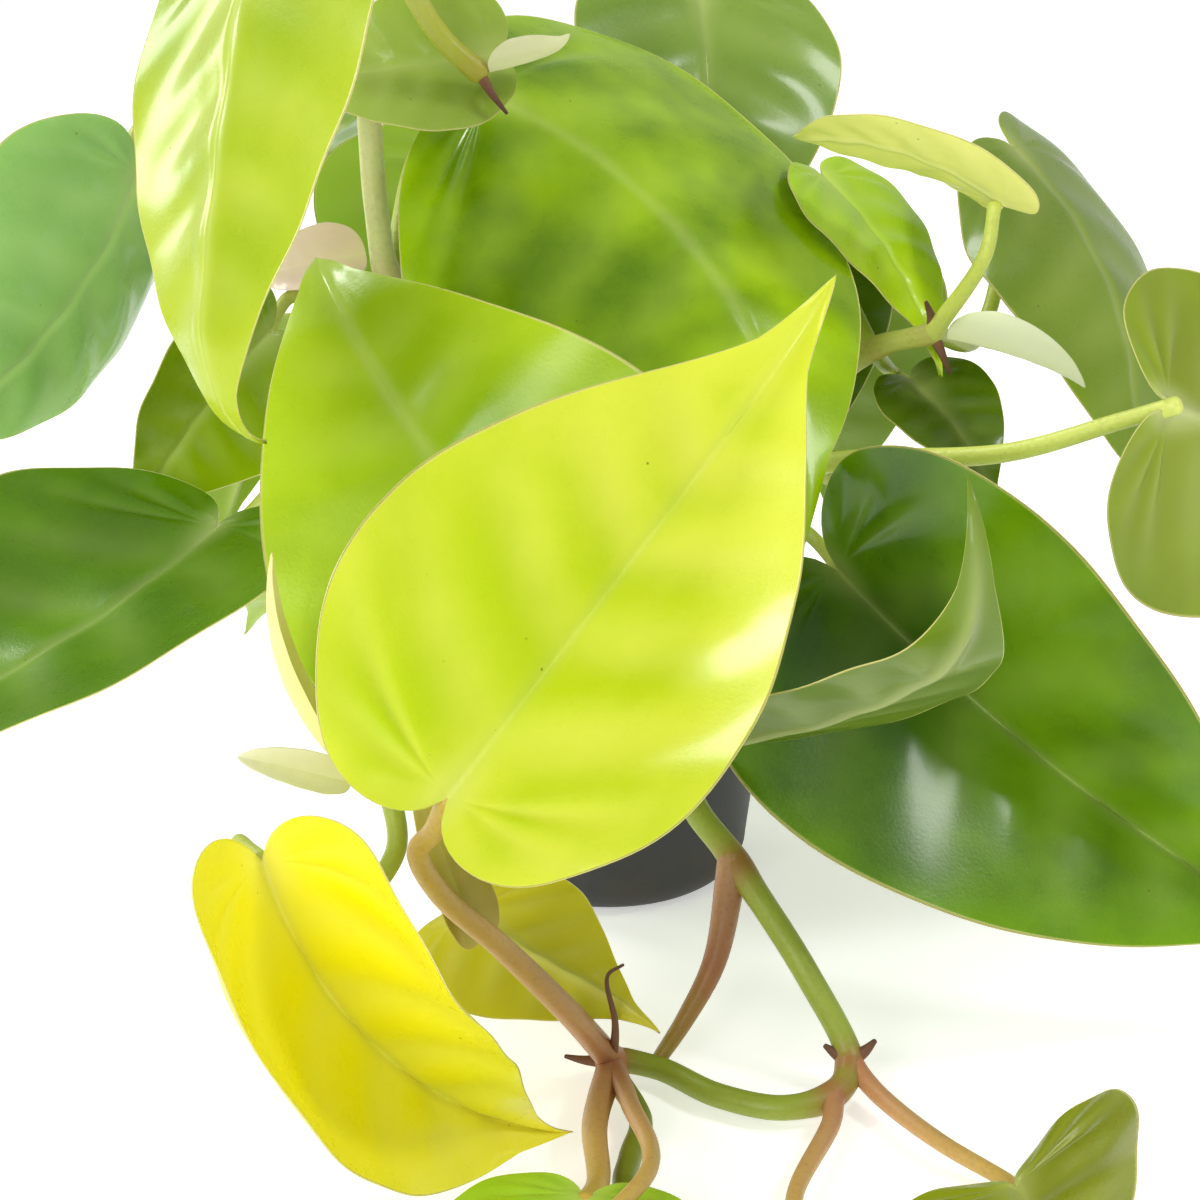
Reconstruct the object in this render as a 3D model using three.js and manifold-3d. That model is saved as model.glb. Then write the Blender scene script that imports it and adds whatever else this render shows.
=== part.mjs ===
// Potted heart-leaf philodendron: a small plain nursery pot, its soil, six stems and their leaves.
// Millimetres, +Z up. The pot stands on z = 0 with its axis on the origin; -Y is the front.
import * as THREE from 'three';
import Module from 'manifold-3d';

// ---- pot ----
const POT_HEIGHT = 64; // floor to top of rim
const RIM_RADIUS = 33.5; // outside of the rolled lip
const BASE_RADIUS = 19; // flat part of the foot, before the corner rounds up
const CORNER_RADIUS = 7; // rounding from the foot to the side
const WALL = 1.6;
const LIP = 1.6; // how far the lip stands out from the side
const LIP_HEIGHT = 7;
const DRAIN_RADIUS = 2; // five drainage holes
const DRAIN_RING = 11;

// ---- soil ----
const SOIL_DROP = 8; // soil surface below the rim
const GAP = 0.3; // clearance left between neighbouring pieces

// ---- plant ----
const STEM_RADIUS = 2.4;
const STALK_RADIUS = 1.25; // leaf stalk
const BLADE = 0.8; // blade thickness

const rim = POT_HEIGHT;
const soilTop = POT_HEIGHT - SOIL_DROP;
const rad = (deg) => (deg * Math.PI) / 180;
const vec = (a) => new THREE.Vector3(...a);

// A place in the crown, its height measured from the rim.
const up = (x, y, z) => vec([x, y, rim + z]);
// A place by the floor, its height measured from the floor.
const low = (x, y, z) => vec([x, y, z]);
// Where a stem starts, a little below the soil surface; it is cut off flush just above the soil.
const root = (x, y) => vec([x, y, soilTop - 3]);
// Where a stem rises inside the rim: the way it lies from the middle, how far inside the lip's outside, height above it.
const inside = (x, y, clear, z) => vec([x, y, 0]).setLength(RIM_RADIUS - clear).setZ(rim + z);
// Where a stem leans over the rim: a compass angle, distance outside the lip, height above it.
const over = (deg, out, z) =>
  vec([(RIM_RADIUS + out) * Math.cos(rad(deg)), (RIM_RADIUS + out) * Math.sin(rad(deg)), rim + z]);

const wasm = await Module();
wasm.setup();

// ---------- solids ----------

// Turns corner positions and triangles into a manifold solid.
function solid(points, faces) {
  const vertProperties = new Float32Array(points.flatMap((p) => [p.x, p.y, p.z]));
  return new wasm.Manifold(new wasm.Mesh({ numProp: 3, vertProperties, triVerts: new Uint32Array(faces.flat()) }));
}

// Turns a manifold solid into flat-shaded triangles.
function toGeometry(body) {
  const mesh = body.getMesh();
  const g = new THREE.BufferGeometry();
  const pos = new Float32Array(mesh.numVert * 3);
  for (let i = 0; i < mesh.numVert; i++)
    for (let k = 0; k < 3; k++) pos[3 * i + k] = mesh.vertProperties[i * mesh.numProp + k];
  g.setAttribute('position', new THREE.BufferAttribute(pos, 3));
  g.setIndex(new THREE.BufferAttribute(new Uint32Array(mesh.triVerts), 1));
  g.computeVertexNormals();
  return g;
}

// Round rod along a smooth line through the given places. radius(t) is taken at t = 0..1 along it.
function rod(places, radius, sides, rings) {
  const line = new THREE.CatmullRomCurve3(places, false, 'centripetal');
  line.arcLengthDivisions = 400;
  const points = [];
  const faces = [];
  let side = null;
  for (let i = 0; i <= rings; i++) {
    const c = line.getPointAt(i / rings);
    const t = line.getTangentAt(i / rings);
    if (!side) side = new THREE.Vector3().crossVectors(t, Math.abs(t.z) < 0.9 ? vec([0, 0, 1]) : vec([1, 0, 0]));
    side = side.clone().addScaledVector(t, -side.dot(t)).normalize();
    const other = new THREE.Vector3().crossVectors(t, side);
    const r = radius(i / rings);
    for (let k = 0; k < sides; k++) {
      const a = (2 * Math.PI * k) / sides;
      points.push(c.clone().addScaledVector(side, r * Math.cos(a)).addScaledVector(other, r * Math.sin(a)));
    }
  }
  for (let i = 0; i < rings; i++)
    for (let k = 0; k < sides; k++) {
      const a = i * sides + k;
      const b = i * sides + ((k + 1) % sides);
      faces.push([a, b, b + sides], [a, b + sides, a + sides]);
    }
  const first = points.push(line.getPointAt(0)) - 1;
  const last = points.push(line.getPointAt(1)) - 1;
  for (let k = 0; k < sides; k++) {
    const n = (k + 1) % sides;
    faces.push([first, n, k], [last, rings * sides + k, rings * sides + n]);
  }
  return solid(points, faces);
}

// Solid of revolution about Z from (radius, height) corners listed counter-clockwise.
function turned(profile, segments, phase = 0) {
  const points = [];
  const faces = [];
  const n = profile.length;
  const onAxis = profile.map(([r]) => r < 1e-6);
  const id = (i, k) => (onAxis[i] ? start[i] : start[i] + (k % segments));
  const start = [];
  profile.forEach(([r, z], i) => {
    start.push(points.length);
    const count = onAxis[i] ? 1 : segments;
    for (let k = 0; k < count; k++) {
      const a = (2 * Math.PI * k) / segments + phase;
      points.push(vec([r * Math.cos(a), r * Math.sin(a), z]));
    }
  });
  for (let i = 0; i < n; i++) {
    const j = (i + 1) % n;
    if (onAxis[i] && onAxis[j]) continue;
    for (let k = 0; k < segments; k++) {
      const [a, b, c, d] = [id(i, k), id(i, k + 1), id(j, k + 1), id(j, k)];
      if (a !== b) faces.push([a, b, c]);
      if (c !== d) faces.push([a, c, d]);
    }
  }
  return solid(points, faces);
}

// ---------- pot and soil ----------

const sideRadius = (z) => {
  // outer side: rounded corner, then a straight flare up to just under the lip
  const low = BASE_RADIUS + CORNER_RADIUS;
  return low + ((RIM_RADIUS - LIP - low) * (z - CORNER_RADIUS)) / (rim - CORNER_RADIUS);
};
const outer = [[0, 0]];
for (let i = 0; i <= 4; i++) {
  const a = rad((90 * i) / 4);
  outer.push([BASE_RADIUS + CORNER_RADIUS * Math.sin(a), CORNER_RADIUS * (1 - Math.cos(a))]);
}
outer.push([sideRadius(rim - LIP_HEIGHT), rim - LIP_HEIGHT]);
outer.push([RIM_RADIUS - 0.5, rim - LIP_HEIGHT + 0.6]);
outer.push([RIM_RADIUS, rim - LIP_HEIGHT + 1.4]);
outer.push([RIM_RADIUS, rim - 0.8]);
outer.push([RIM_RADIUS - 0.6, rim]);
const innerRim = RIM_RADIUS - LIP - WALL;
const inner = [
  [innerRim, rim],
  [sideRadius(CORNER_RADIUS) - WALL, CORNER_RADIUS],
  [BASE_RADIUS + CORNER_RADIUS * 0.45, WALL + 0.9],
  [BASE_RADIUS, WALL],
  [0, WALL],
];
let pot = turned([...outer, ...inner], 40);
for (let k = 0; k < 5; k++) {
  const hole = turned([[0, -1], [DRAIN_RADIUS, -1], [DRAIN_RADIUS, WALL + 2], [0, WALL + 2]], 12);
  const a = rad(72 * k + 90);
  pot = pot.subtract(hole.translate([DRAIN_RING * Math.cos(a), DRAIN_RING * Math.sin(a), 0]));
}

// Soil: fills the pot to SOIL_DROP below the rim, a hair inside the wall all round.
const soilAt = (z) => {
  const foot = sideRadius(CORNER_RADIUS) - WALL;
  return foot + ((innerRim - foot) * (z - CORNER_RADIUS)) / (rim - CORNER_RADIUS) - GAP * 1.2;
};
const soil = turned(
  [
    [0, WALL + GAP],
    [BASE_RADIUS - 2, WALL + GAP],
    [BASE_RADIUS + CORNER_RADIUS * 0.45 - 1.6, WALL + 1.5],
    [soilAt(CORNER_RADIUS), CORNER_RADIUS + GAP],
    [soilAt(soilTop), soilTop],
    [0, soilTop],
  ],
  40
);

// The room kept clear for the soil when a stem is cut off above it.
const soilRoom = turned([[0, soilTop - 8], [innerRim - 1, soilTop - 8], [innerRim - 1, soilTop + GAP], [0, soilTop + GAP]], 24);

// ---------- stems ----------
// Each stem is a list of places. Leaf stalks spring from these places, counted from 0 at the soil.

const STEMS = {
  // over the front of the rim and down to the floor, where it creeps round to the left and forward
  vine_front: [
    root(6, -8), up(9, -17, 7), over(-68, 2, 6), up(16, -48, -6), low(13, -60, 41), low(20, -69, 33),
    low(31.5, -80, 18), low(38, -86, 6), low(35, -93, 4), low(27, -96, 3.4), low(17, -92, 3.2), low(7.6, -83.5, 3.2),
    low(0.5, -82.5, 3.8), low(4.8, -99.6, 3.2), low(3, -110, 3.2), low(2.5, -119, 3.4), low(12, -128, 4),
  ],
  // leans forward over the front left of the rim and stays up in the air
  stem_front: [root(-8, -9), up(-13, -20, 8), up(-20, -40, 12), up(-26, -62, 11), up(-31, -84, 5), up(-33, -101, -1), up(-37, -106, 0.5)],
  // out to the left
  stem_left: [root(-15, 2), up(-22, 1, 10), up(-34, -4, 20), up(-42, -18, 23), up(-50, -42, 28)],
  // climbs at the back left, arches over the top and hangs its tip in front
  stem_tall: [
    root(-6, 6), up(-14, 7, 10), up(-28, 3, 30), up(-38, -3, 48), up(-40, -5, 62), up(-41, -6, 84),
    up(-43, -10, 106), up(-43, -17, 120), up(-37, -23, 119), up(-31.5, -25, 101), up(-26.5, -25, 93), up(-21, -25, 88),
  ],
  // out to the right, ending in a young shoot
  stem_right: [root(13, 0), up(21, -2, 10), up(33, -4, 24), up(46, -6, 37), up(56, -10, 41)],
  // upright in the middle of the crown
  stem_back: [root(2, 12), up(4, 20, 14), up(5, 28, 34), up(6, 40, 54), up(10, 56, 70)],
  // over the back of the rim and down to the floor behind
  vine_back: [
    root(-5, 17), inside(-9, 26, 5.98637, 8), over(108, 3, 6), up(-18, 54, -14), low(-22, 62, 26), low(-26, 68, 9), low(-30, 76, 4),
    low(-30, 92, 3.2), low(-22, 106, 3.2),
  ],
};

// Aerial roots and dry spikes: from a joint of a stem, ending at the last place of `to`.
const ROOTS = [
  { stem: 'vine_front', node: 5, to: [low(17, -75, 18), low(12.3, -79, 9.7), low(7.6, -82.5, 3.6)], radius: 2 },
  { stem: 'vine_front', node: 12, to: [low(0.8, -93, 17), low(-0.3, -95, 26), low(2, -95.5, 28)], radius: 0.7 },
  { stem: 'vine_front', node: 12, to: [low(-4, -82.5, 4), low(-7, -82, 4.4)], radius: 1 },
  { stem: 'vine_front', node: 7, to: [low(35.8, -85.5, 7), low(34.2, -85, 8)], radius: 1.2 },
  { stem: 'vine_front', node: 7, to: [low(40.5, -85.6, 7.5), low(42, -85.2, 9)], radius: 1.2 },
  { stem: 'stem_right', node: 4, to: [up(55.6, -11, 44), up(54.4, -12, 47)], radius: 1 },
  { stem: 'stem_right', node: 4, to: [up(57.5, -11, 38), up(59, -12, 34.5)], radius: 0.9 },
  { stem: 'stem_tall', node: 11, to: [up(-19, -27, 85), up(-16.5, -28.5, 82)], radius: 0.8 },
];

// ---------- leaf shape ----------

// One side of the heart outline from the notch to the tip: x in half widths, y in lengths.
const HEART = [
  [[0, 0], [0.06, -0.085], [0.4, -0.12], [0.68, -0.03]],
  [[0.68, -0.03], [0.92, 0.045], [1.03, 0.14], [1, 0.23]],
  [[1, 0.23], [0.95, 0.45], [0.4, 0.7], [0.14, 0.85]],
  [[0.14, 0.85], [0.07, 0.91], [0.03, 0.96], [0, 1]],
];
const HEART_STEPS = [3, 2, 4, 2];
// The same for the papery sheath that wraps a young shoot: a plain lance shape with no notch.
const LANCE = [
  [[0, 0], [0.5, -0.01], [0.85, 0.1], [1, 0.28]],
  [[1, 0.28], [1.08, 0.5], [0.75, 0.78], [0.3, 0.93]],
  [[0.3, 0.93], [0.2, 0.97], [0.08, 0.99], [0, 1]],
];
const LANCE_STEPS = [2, 3, 1];
const ACROSS = 2; // strips from midrib to margin
const BASAL = 0.25; // how far the side veins start behind their ends, in lengths

// Points along one side of an outline.
function margin(curves, counts) {
  const points = [[0, 0]];
  curves.forEach((c, s) => {
    for (let i = 1; i <= counts[s]; i++) {
      const t = i / counts[s];
      const w = [(1 - t) ** 3, 3 * (1 - t) ** 2 * t, 3 * (1 - t) * t * t, t ** 3];
      points.push([0, 1].map((k) => w.reduce((sum, v, j) => sum + v * c[j][k], 0)));
    }
  });
  return points;
}
const heartMargin = margin(HEART, HEART_STEPS);
const lanceMargin = margin(LANCE, LANCE_STEPS);

// Axes of a blade at its base: along the midrib, up out of the face, and to the right.
function bladeAxes(leaf) {
  const [h, p, r] = [leaf.heading, leaf.pitch, leaf.roll].map(rad);
  const along = vec([Math.cos(p) * Math.cos(h), Math.cos(p) * Math.sin(h), Math.sin(p)]);
  const rise = vec([-Math.sin(p) * Math.cos(h), -Math.sin(p) * Math.sin(h), Math.cos(p)]);
  const face = rise.clone().multiplyScalar(Math.cos(r)).addScaledVector(along.clone().cross(rise), Math.sin(r));
  return { along, face, right: along.clone().cross(face) };
}

// Places a point of the flat heart (x signed, in half widths, y in lengths) on the bent blade.
function bladePoint(leaf, x, y) {
  const { along, face, right } = bladeAxes(leaf);
  const turn = (g) => rad(leaf.droop) * g + rad(leaf.tip) * Math.max(0, (g - 0.6) / 0.4) ** 2;
  const sway = (g) => rad(leaf.sweep) * g;
  const steps = 24;
  const dir = (g) =>
    along.clone().multiplyScalar(Math.cos(turn(g)) * Math.cos(sway(g)))
      .addScaledVector(face, -Math.sin(turn(g)))
      .addScaledVector(right, Math.cos(turn(g)) * Math.sin(sway(g)));
  const place = leaf.at.clone();
  for (let i = 0; i < steps; i++) place.addScaledVector(dir((y * (i + 0.5)) / steps), (leaf.length * y) / steps);
  const ahead = dir(y);
  const flatSide = along.clone().multiplyScalar(-Math.sin(sway(y))).addScaledVector(right, Math.cos(sway(y)));
  const flatUp = flatSide.clone().cross(ahead);
  const twist = rad(leaf.twist ?? 0) * y;
  const out = flatSide.clone().multiplyScalar(Math.cos(twist)).addScaledVector(flatUp, Math.sin(twist));
  const rise = out.clone().cross(ahead);
  const fold = rad(x > 0 ? leaf.fold[1] : leaf.fold[0]);
  const curl = rad(Math.abs(leaf.curl) < 0.1 ? 0.1 : leaf.curl);
  const half = leaf.width / 2 / curl;
  const reach = half * (Math.sin(fold + curl * Math.abs(x)) - Math.sin(fold));
  const lift = half * (Math.cos(fold) - Math.cos(fold + curl * Math.abs(x)));
  return place.addScaledVector(out, Math.sign(x) * reach).addScaledVector(rise, lift);
}

// A blade as a thin closed body: upper face, lower face and the rim between them.
function blade(leaf, outline = heartMargin) {
  const mid = [];
  const ids = new Map();
  const id = (x, y) => {
    const key = `${x.toFixed(4)},${y.toFixed(4)}`.replace('-0.0000', '0.0000');
    if (!ids.has(key)) ids.set(key, mid.push(bladePoint(leaf, x, y)) - 1);
    return ids.get(key);
  };
  const faces = [];
  const edge = [];
  for (const side of [1, -1]) {
    const grid = outline.map(([mx, my]) => {
      const inner = Math.max(0, (1 + BASAL) * my - BASAL);
      return Array.from({ length: ACROSS + 1 }, (_, j) => {
        const s = j / ACROSS;
        return id(side * mx * s, inner + (my - inner) * s ** 1.25);
      });
    });
    for (let i = 0; i + 1 < grid.length; i++) {
      for (let j = 0; j < ACROSS; j++) {
        const quad = [grid[i][j], grid[i][j + 1], grid[i + 1][j + 1], grid[i + 1][j]];
        if (side < 0) quad.reverse();
        for (const t of [[quad[0], quad[1], quad[2]], [quad[0], quad[2], quad[3]]])
          if (new Set(t).size === 3) faces.push(t);
      }
      const pair = [grid[i][ACROSS], grid[i + 1][ACROSS]];
      edge.push(side > 0 ? pair : pair.reverse());
    }
  }
  const normals = mid.map(() => vec([0, 0, 0]));
  for (const [a, b, c] of faces) {
    const n = mid[b].clone().sub(mid[a]).cross(mid[c].clone().sub(mid[a]));
    for (const k of [a, b, c]) normals[k].add(n);
  }
  normals.forEach((n) => n.normalize());
  const n = mid.length;
  const points = [
    ...mid.map((p, k) => p.clone().addScaledVector(normals[k], BLADE / 2)),
    ...mid.map((p, k) => p.clone().addScaledVector(normals[k], -BLADE / 2)),
  ];
  const all = [];
  for (const [a, b, c] of faces) all.push([a, b, c], [a + n, c + n, b + n]);
  for (const [a, b] of edge) all.push([a, a + n, b + n], [a, b + n, b]);
  return solid(points, all);
}

// Leaf stalk from its place on the stem to just under the blade, arriving along `arrive`
// (how much from below, how much from behind).
function stalk(leaf) {
  const start = STEMS[leaf.stem][leaf.node];
  const { along, face, right } = bladeAxes(leaf);
  const [below, behind, aside] = leaf.arrive ?? [0.8, 0.5, 0];
  const way = face.clone().multiplyScalar(below).addScaledVector(along, behind)
    .addScaledVector(right, aside ?? 0).normalize();
  const r = STALK_RADIUS * (leaf.stalk ?? 1);
  const clear = BLADE / 2 + GAP + 0.1 + r * Math.sqrt(Math.max(0, 1 - way.dot(face) ** 2));
  const end = leaf.at.clone().addScaledVector(face, -clear);
  const reach = end.distanceTo(start);
  const before = end.clone().addScaledVector(way, -Math.min(9, reach * 0.3));
  const rings = Math.max(5, Math.round(reach / 9));
  return rod([start, ...(leaf.via ?? []), before, end], (t) => r * (1.25 - 0.3 * t + (t > 0.9 ? 0.05 : 0)), 6, rings);
}

// ---------- leaves ----------
// at: where the stalk meets the blade. heading, pitch, roll: where the midrib points and how the
// face is turned. droop and tip bend the midrib down, sweep bends it sideways, fold lifts the two
// halves into a V, curl rolls their margins.
const IN_NOTCH = [0.25, 1, 0]; // stalk arriving through the notch, in the plane of the blade

const LEAVES = {
  // front of the crown
  leaf_front: {
    at: up(-22, -125.5, 5.5), heading: 45, pitch: 35, roll: 37, length: 97, width: 70,
    droop: -1, fold: [24, 24], curl: 18, tip: -54, sweep: -1,
    stem: 'vine_front', node: 12, via: [low(-7, -99.6, 23), low(-16.2, -106.5, 37), up(-24.4, -113, -15.2), up(-27, -118, -6)],
    arrive: [0.9, 0.3, 0], stalk: 1.35,
  },
  leaf_behind_front: {
    at: up(-6.5, -91.5, 16.5), heading: 161, pitch: 47, roll: -65, length: 79, width: 67,
    droop: 33, fold: [12, 6], curl: -2, tip: 47, sweep: 12, stem: 'stem_front', node: 3,
  },
  leaf_hanging: {
    at: up(-49, -80.5, 117), heading: -103, pitch: -55, roll: 24, length: 80, width: 52,
    droop: 11, fold: [-6, -22], curl: 16, tip: 100, sweep: 2,
    stem: 'stem_tall', node: 7, via: [up(-44, -40, 126), up(-46, -62, 127)], arrive: [0.5, 0.9, 0],
  },
  leaf_left_high: {
    at: up(-80, -9, 68), heading: -118, pitch: -51, roll: -93, length: 67, width: 52,
    droop: 27, fold: [4, -2], curl: -39, tip: 68, sweep: 24,
    stem: 'stem_left', node: 2, via: [up(-52, 6, 46), up(-70, 6, 68)], arrive: IN_NOTCH,
  },
  leaf_left_low: {
    at: up(-63, -50.5, 19), heading: -121, pitch: -17, roll: 2, length: 94, width: 71,
    droop: -10, fold: [3, 6], curl: 28, tip: -100, sweep: 27, stem: 'stem_left', node: 4, arrive: IN_NOTCH,
  },
  leaf_left_shade: {
    at: up(-57.5, -16.5, 43), heading: -139, pitch: -33, roll: -84, length: 44, width: 37,
    droop: 4, fold: [13, 13], curl: 24, tip: -60, sweep: -23, stem: 'stem_left', node: 2, arrive: IN_NOTCH,
  },
  leaf_yellow: {
    at: up(-47.5, -130, -2), heading: -12, pitch: -75, roll: 52, length: 76, width: 60,
    droop: 16, fold: [38, 29], curl: 61, tip: 2, sweep: -58,
    stem: 'stem_front', node: 5, via: [up(-31, -108, -11), up(-39, -115, -17)], arrive: [1, 0, 0],
  },
  leaf_back_lit: {
    at: low(-24, -66.5, 19.375 + 2.5 * STALK_RADIUS), heading: -53, pitch: -1, roll: -159, length: 43, width: 32,
    droop: -20, fold: [11, 13], curl: -13, tip: -32, sweep: 19,
    stem: 'stem_front', node: 4, via: [low(-28, -74, 48)],
  },
  leaf_right_big: {
    at: up(37.5, -43, 9.5), heading: -45, pitch: -31, roll: 62, length: 107, width: 79,
    droop: 52, fold: [37, 40], curl: 0, tip: -56, sweep: -11, stem: 'stem_right', node: 1, arrive: IN_NOTCH,
  },
  leaf_curled: {
    at: up(12.5, -82.5, -6), heading: -46, pitch: 22, roll: -13, length: 103, width: 35,
    droop: -14, fold: [7, 20], curl: -12, tip: -111, sweep: 39, twist: -4, stem: 'vine_front', node: 3,
  },
  leaf_right_edge: {
    at: up(88, -53, 40), heading: 32, pitch: -23, roll: -109, length: 79, width: 63,
    droop: 31, fold: [19, 21], curl: 6, tip: 0, sweep: -11,
    stem: 'stem_right', node: 1, via: [up(38, -24, 22), up(65, -43, 29.5), up(77, -56, 36.5)],
    arrive: [0.3, 1, 0], stalk: 1.25,
  },
  leaf_right_far: {
    at: up(73.5, 23, 67.5), heading: -23, pitch: -39, roll: 7, length: 78, width: 58,
    droop: 47, fold: [-3, -4], curl: -19, tip: -100, sweep: 45, stem: 'stem_right', node: 4, via: [up(66, 6, 36), up(71, 18, 48)], arrive: [0.9, 0.4, 0],
  },
  leaf_top_back: {
    at: up(17.5, 62, 91), heading: -84, pitch: -44, roll: -13, length: 70, width: 54,
    droop: 29, fold: [8, 9], curl: -7, tip: 9, sweep: -7, stem: 'stem_back', node: 4, arrive: [0.9, 0.3, 0],
  },
  leaf_centre: {
    at: up(-20.5, -4, 81.5), heading: -14, pitch: -21, roll: 31, length: 102, width: 88,
    droop: 14, fold: [-6, -11], curl: -26, tip: 6, sweep: 64, stem: 'stem_back', node: 2,
  },
  leaf_right_small: {
    at: up(38.5, 13.5, 64), heading: -37, pitch: -34, roll: -4, length: 43, width: 36,
    droop: 30, fold: [8, 10], curl: -14, tip: 4, sweep: 8, stem: 'stem_right', node: 3, arrive: [0.7, -0.6, 0],
  },
  leaf_shoot: {
    at: up(65, -18, 66), heading: -164, pitch: 35, roll: 13, length: 45, width: 28,
    droop: 15, fold: [-2, -2], curl: 16, tip: -34, sweep: 100, stem: 'stem_right', node: 4, arrive: [0.8, 0.3, 0],
  },
  leaf_top_small: {
    at: up(-19, -18, 90), heading: -172, pitch: -6, roll: -58, length: 38, width: 28,
    droop: 10, fold: [8, 8], curl: 14, tip: 10, sweep: 0,
    stem: 'stem_tall', node: 5, via: [up(-29, -9, 89)], arrive: [1, 0, 0],
  },
  leaf_right_shade: {
    at: up(54, 0.5, 30), heading: -52, pitch: -24, roll: 11, length: 30, width: 24,
    droop: 26, fold: [11, 12], curl: -4, tip: 6, sweep: 7, stem: 'stem_right', node: 3, arrive: IN_NOTCH,
  },
  leaf_inner: {
    at: up(33, 20, 49), heading: -78, pitch: -62, roll: 6, length: 44, width: 36,
    droop: 12, fold: [12, 12], curl: 8, tip: 10, sweep: 0,
    stem: 'stem_right', node: 1, via: [up(26, 16, 34)], arrive: [0.9, 0.3, 0],
  },
  // by the floor in front
  leaf_floor_right: {
    at: low(58.5, -124.5, 7.5), heading: -84, pitch: 10, roll: 28, length: 55, width: 45,
    droop: 8, fold: [14, 14], curl: 24, tip: -39, sweep: 34,
    stem: 'vine_front', node: 7, via: [low(42, -93, 4), low(50, -107, 4)], arrive: IN_NOTCH,
  },
  leaf_floor_middle: {
    at: low(-3.5, -130, 9.5), heading: -102, pitch: -2, roll: 0, length: 46, width: 37,
    droop: 2, fold: [6, 6], curl: -8, tip: 6, sweep: 0,
    stem: 'vine_front', node: 12, via: [low(-2.3, -105.3, 6)], arrive: [0.25, 1, 0], stalk: 1.45,
  },
  leaf_floor_raised: {
    at: low(-4, -157, 19), heading: -98, pitch: 4, roll: -6, length: 48, width: 38,
    droop: 14, fold: [12, 12], curl: 0, tip: 10, sweep: 4,
    stem: 'vine_front', node: 12, via: [low(3, -103, 8.5), low(5.4, -131, 14.5)],
    arrive: IN_NOTCH,
  },
  leaf_floor_front: {
    at: low(26, -141, 8), heading: -88, pitch: 6, roll: 8, length: 42, width: 28,
    droop: 10, fold: [14, 14], curl: 0, tip: 8, sweep: -6,
    stem: 'vine_front', node: 8, via: [low(34, -101, 4), low(27, -121, 4)], arrive: IN_NOTCH,
  },
  // behind
  leaf_back_high: {
    at: up(-20, 40, 62), heading: 112, pitch: -44, roll: 4, length: 88, width: 66,
    droop: 24, fold: [14, 14], curl: 6, tip: 24, sweep: 6, stem: 'stem_back', node: 3, arrive: IN_NOTCH,
  },
  leaf_back_right: {
    at: up(32, 44, 40), heading: 62, pitch: -42, roll: -6, length: 80, width: 60,
    droop: 26, fold: [16, 16], curl: 4, tip: 20, sweep: -8,
    stem: 'stem_back', node: 1, via: [up(22, 37, 24)], arrive: IN_NOTCH,
  },
  leaf_back_left: {
    at: up(-44, 34, 30), heading: 146, pitch: -34, roll: 8, length: 72, width: 54,
    droop: 24, fold: [12, 12], curl: 8, tip: 26, sweep: 10,
    stem: 'stem_left', node: 1, via: [up(-32, 16, 26)], arrive: IN_NOTCH,
  },
  leaf_back_middle: {
    at: up(6, 52, 14), heading: 82, pitch: -46, roll: -4, length: 76, width: 58,
    droop: 20, fold: [14, 14], curl: 6, tip: 26, sweep: -6, stem: 'stem_back', node: 1, arrive: IN_NOTCH,
  },
  leaf_back_trailing: {
    at: low(-44, 74, 30), heading: 138, pitch: -14, roll: 6, length: 62, width: 47,
    droop: 18, fold: [12, 12], curl: 6, tip: 22, sweep: 6, stem: 'vine_back', node: 4, arrive: IN_NOTCH,
  },
  leaf_back_floor: {
    at: low(-10, 92, 12), heading: 74, pitch: -4, roll: -6, length: 56, width: 43,
    droop: 8, fold: [12, 12], curl: 4, tip: 8, sweep: -4, stem: 'vine_back', node: 6, arrive: IN_NOTCH,
  },
  leaf_side_right: {
    at: up(50, 36, -1), heading: 28, pitch: -40, roll: -4, length: 66, width: 50,
    droop: 22, fold: [14, 14], curl: 6, tip: 22, sweep: -10,
    stem: 'stem_right', node: 1, via: [up(32, 10, 16)], arrive: IN_NOTCH,
  },
  leaf_back_inner: {
    at: up(-34, 26, 78), heading: 122, pitch: -14, roll: 0, length: 62, width: 47,
    droop: 30, fold: [12, 12], curl: 4, tip: 20, sweep: -8,
    stem: 'stem_tall', node: 3, via: [up(-35, 14, 66)], arrive: IN_NOTCH,
  },
};

// ---------- sheaths ----------
// Papery sheaths left at the joints of the stems; each sits on its joint and hugs the young growth.
const SHEATHS = {
  sheath_front: {
    at: up(-37.5, -106.6, 1), heading: 178, pitch: 44, roll: 0, length: 36, width: 8,
    droop: -60, fold: [24, 24], curl: 50, tip: 0, sweep: 0,
  },
  sheath_front_short: {
    at: up(-37.6, -103.4, 0.2 - STEM_RADIUS), heading: 196, pitch: 22, roll: -60, length: 17, width: 7,
    droop: 10, fold: [20, 20], curl: 30, tip: 20, sweep: 0,
  },
  sheath_shoot: {
    at: up(58.5, -11, 40.5), heading: -32, pitch: -2, roll: -50, length: 27, width: 13,
    droop: 14, fold: [20, 20], curl: 50, tip: 10, sweep: -6,
  },
  sheath_tall: {
    at: up(-41.7, -5.9, 54), heading: -170, pitch: -8, roll: -60, length: 19, width: 14,
    droop: 10, fold: [16, 16], curl: 40, tip: 30, sweep: 0,
  },
  sheath_tip: {
    at: up(-19.6, -25.6, 88.4), heading: -10, pitch: 12, roll: -30, length: 15, width: 9,
    droop: -20, fold: [20, 20], curl: 60, tip: -60, sweep: -10,
  },
  sheath_floor: {
    at: low(12.7, -128.6, 4.2), heading: -36, pitch: 6, roll: 0, length: 11, width: 5,
    droop: -10, fold: [40, 40], curl: 60, tip: 0, sweep: 0,
  },
  sheath_stalk: {
    at: low(-19.2, -102, 35), heading: -133, pitch: 68, roll: -112, length: 32, width: 11,
    droop: 0, fold: [20, 20], curl: 40, tip: 0, sweep: 0,
  },
};

// ---------- group ----------

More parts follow.
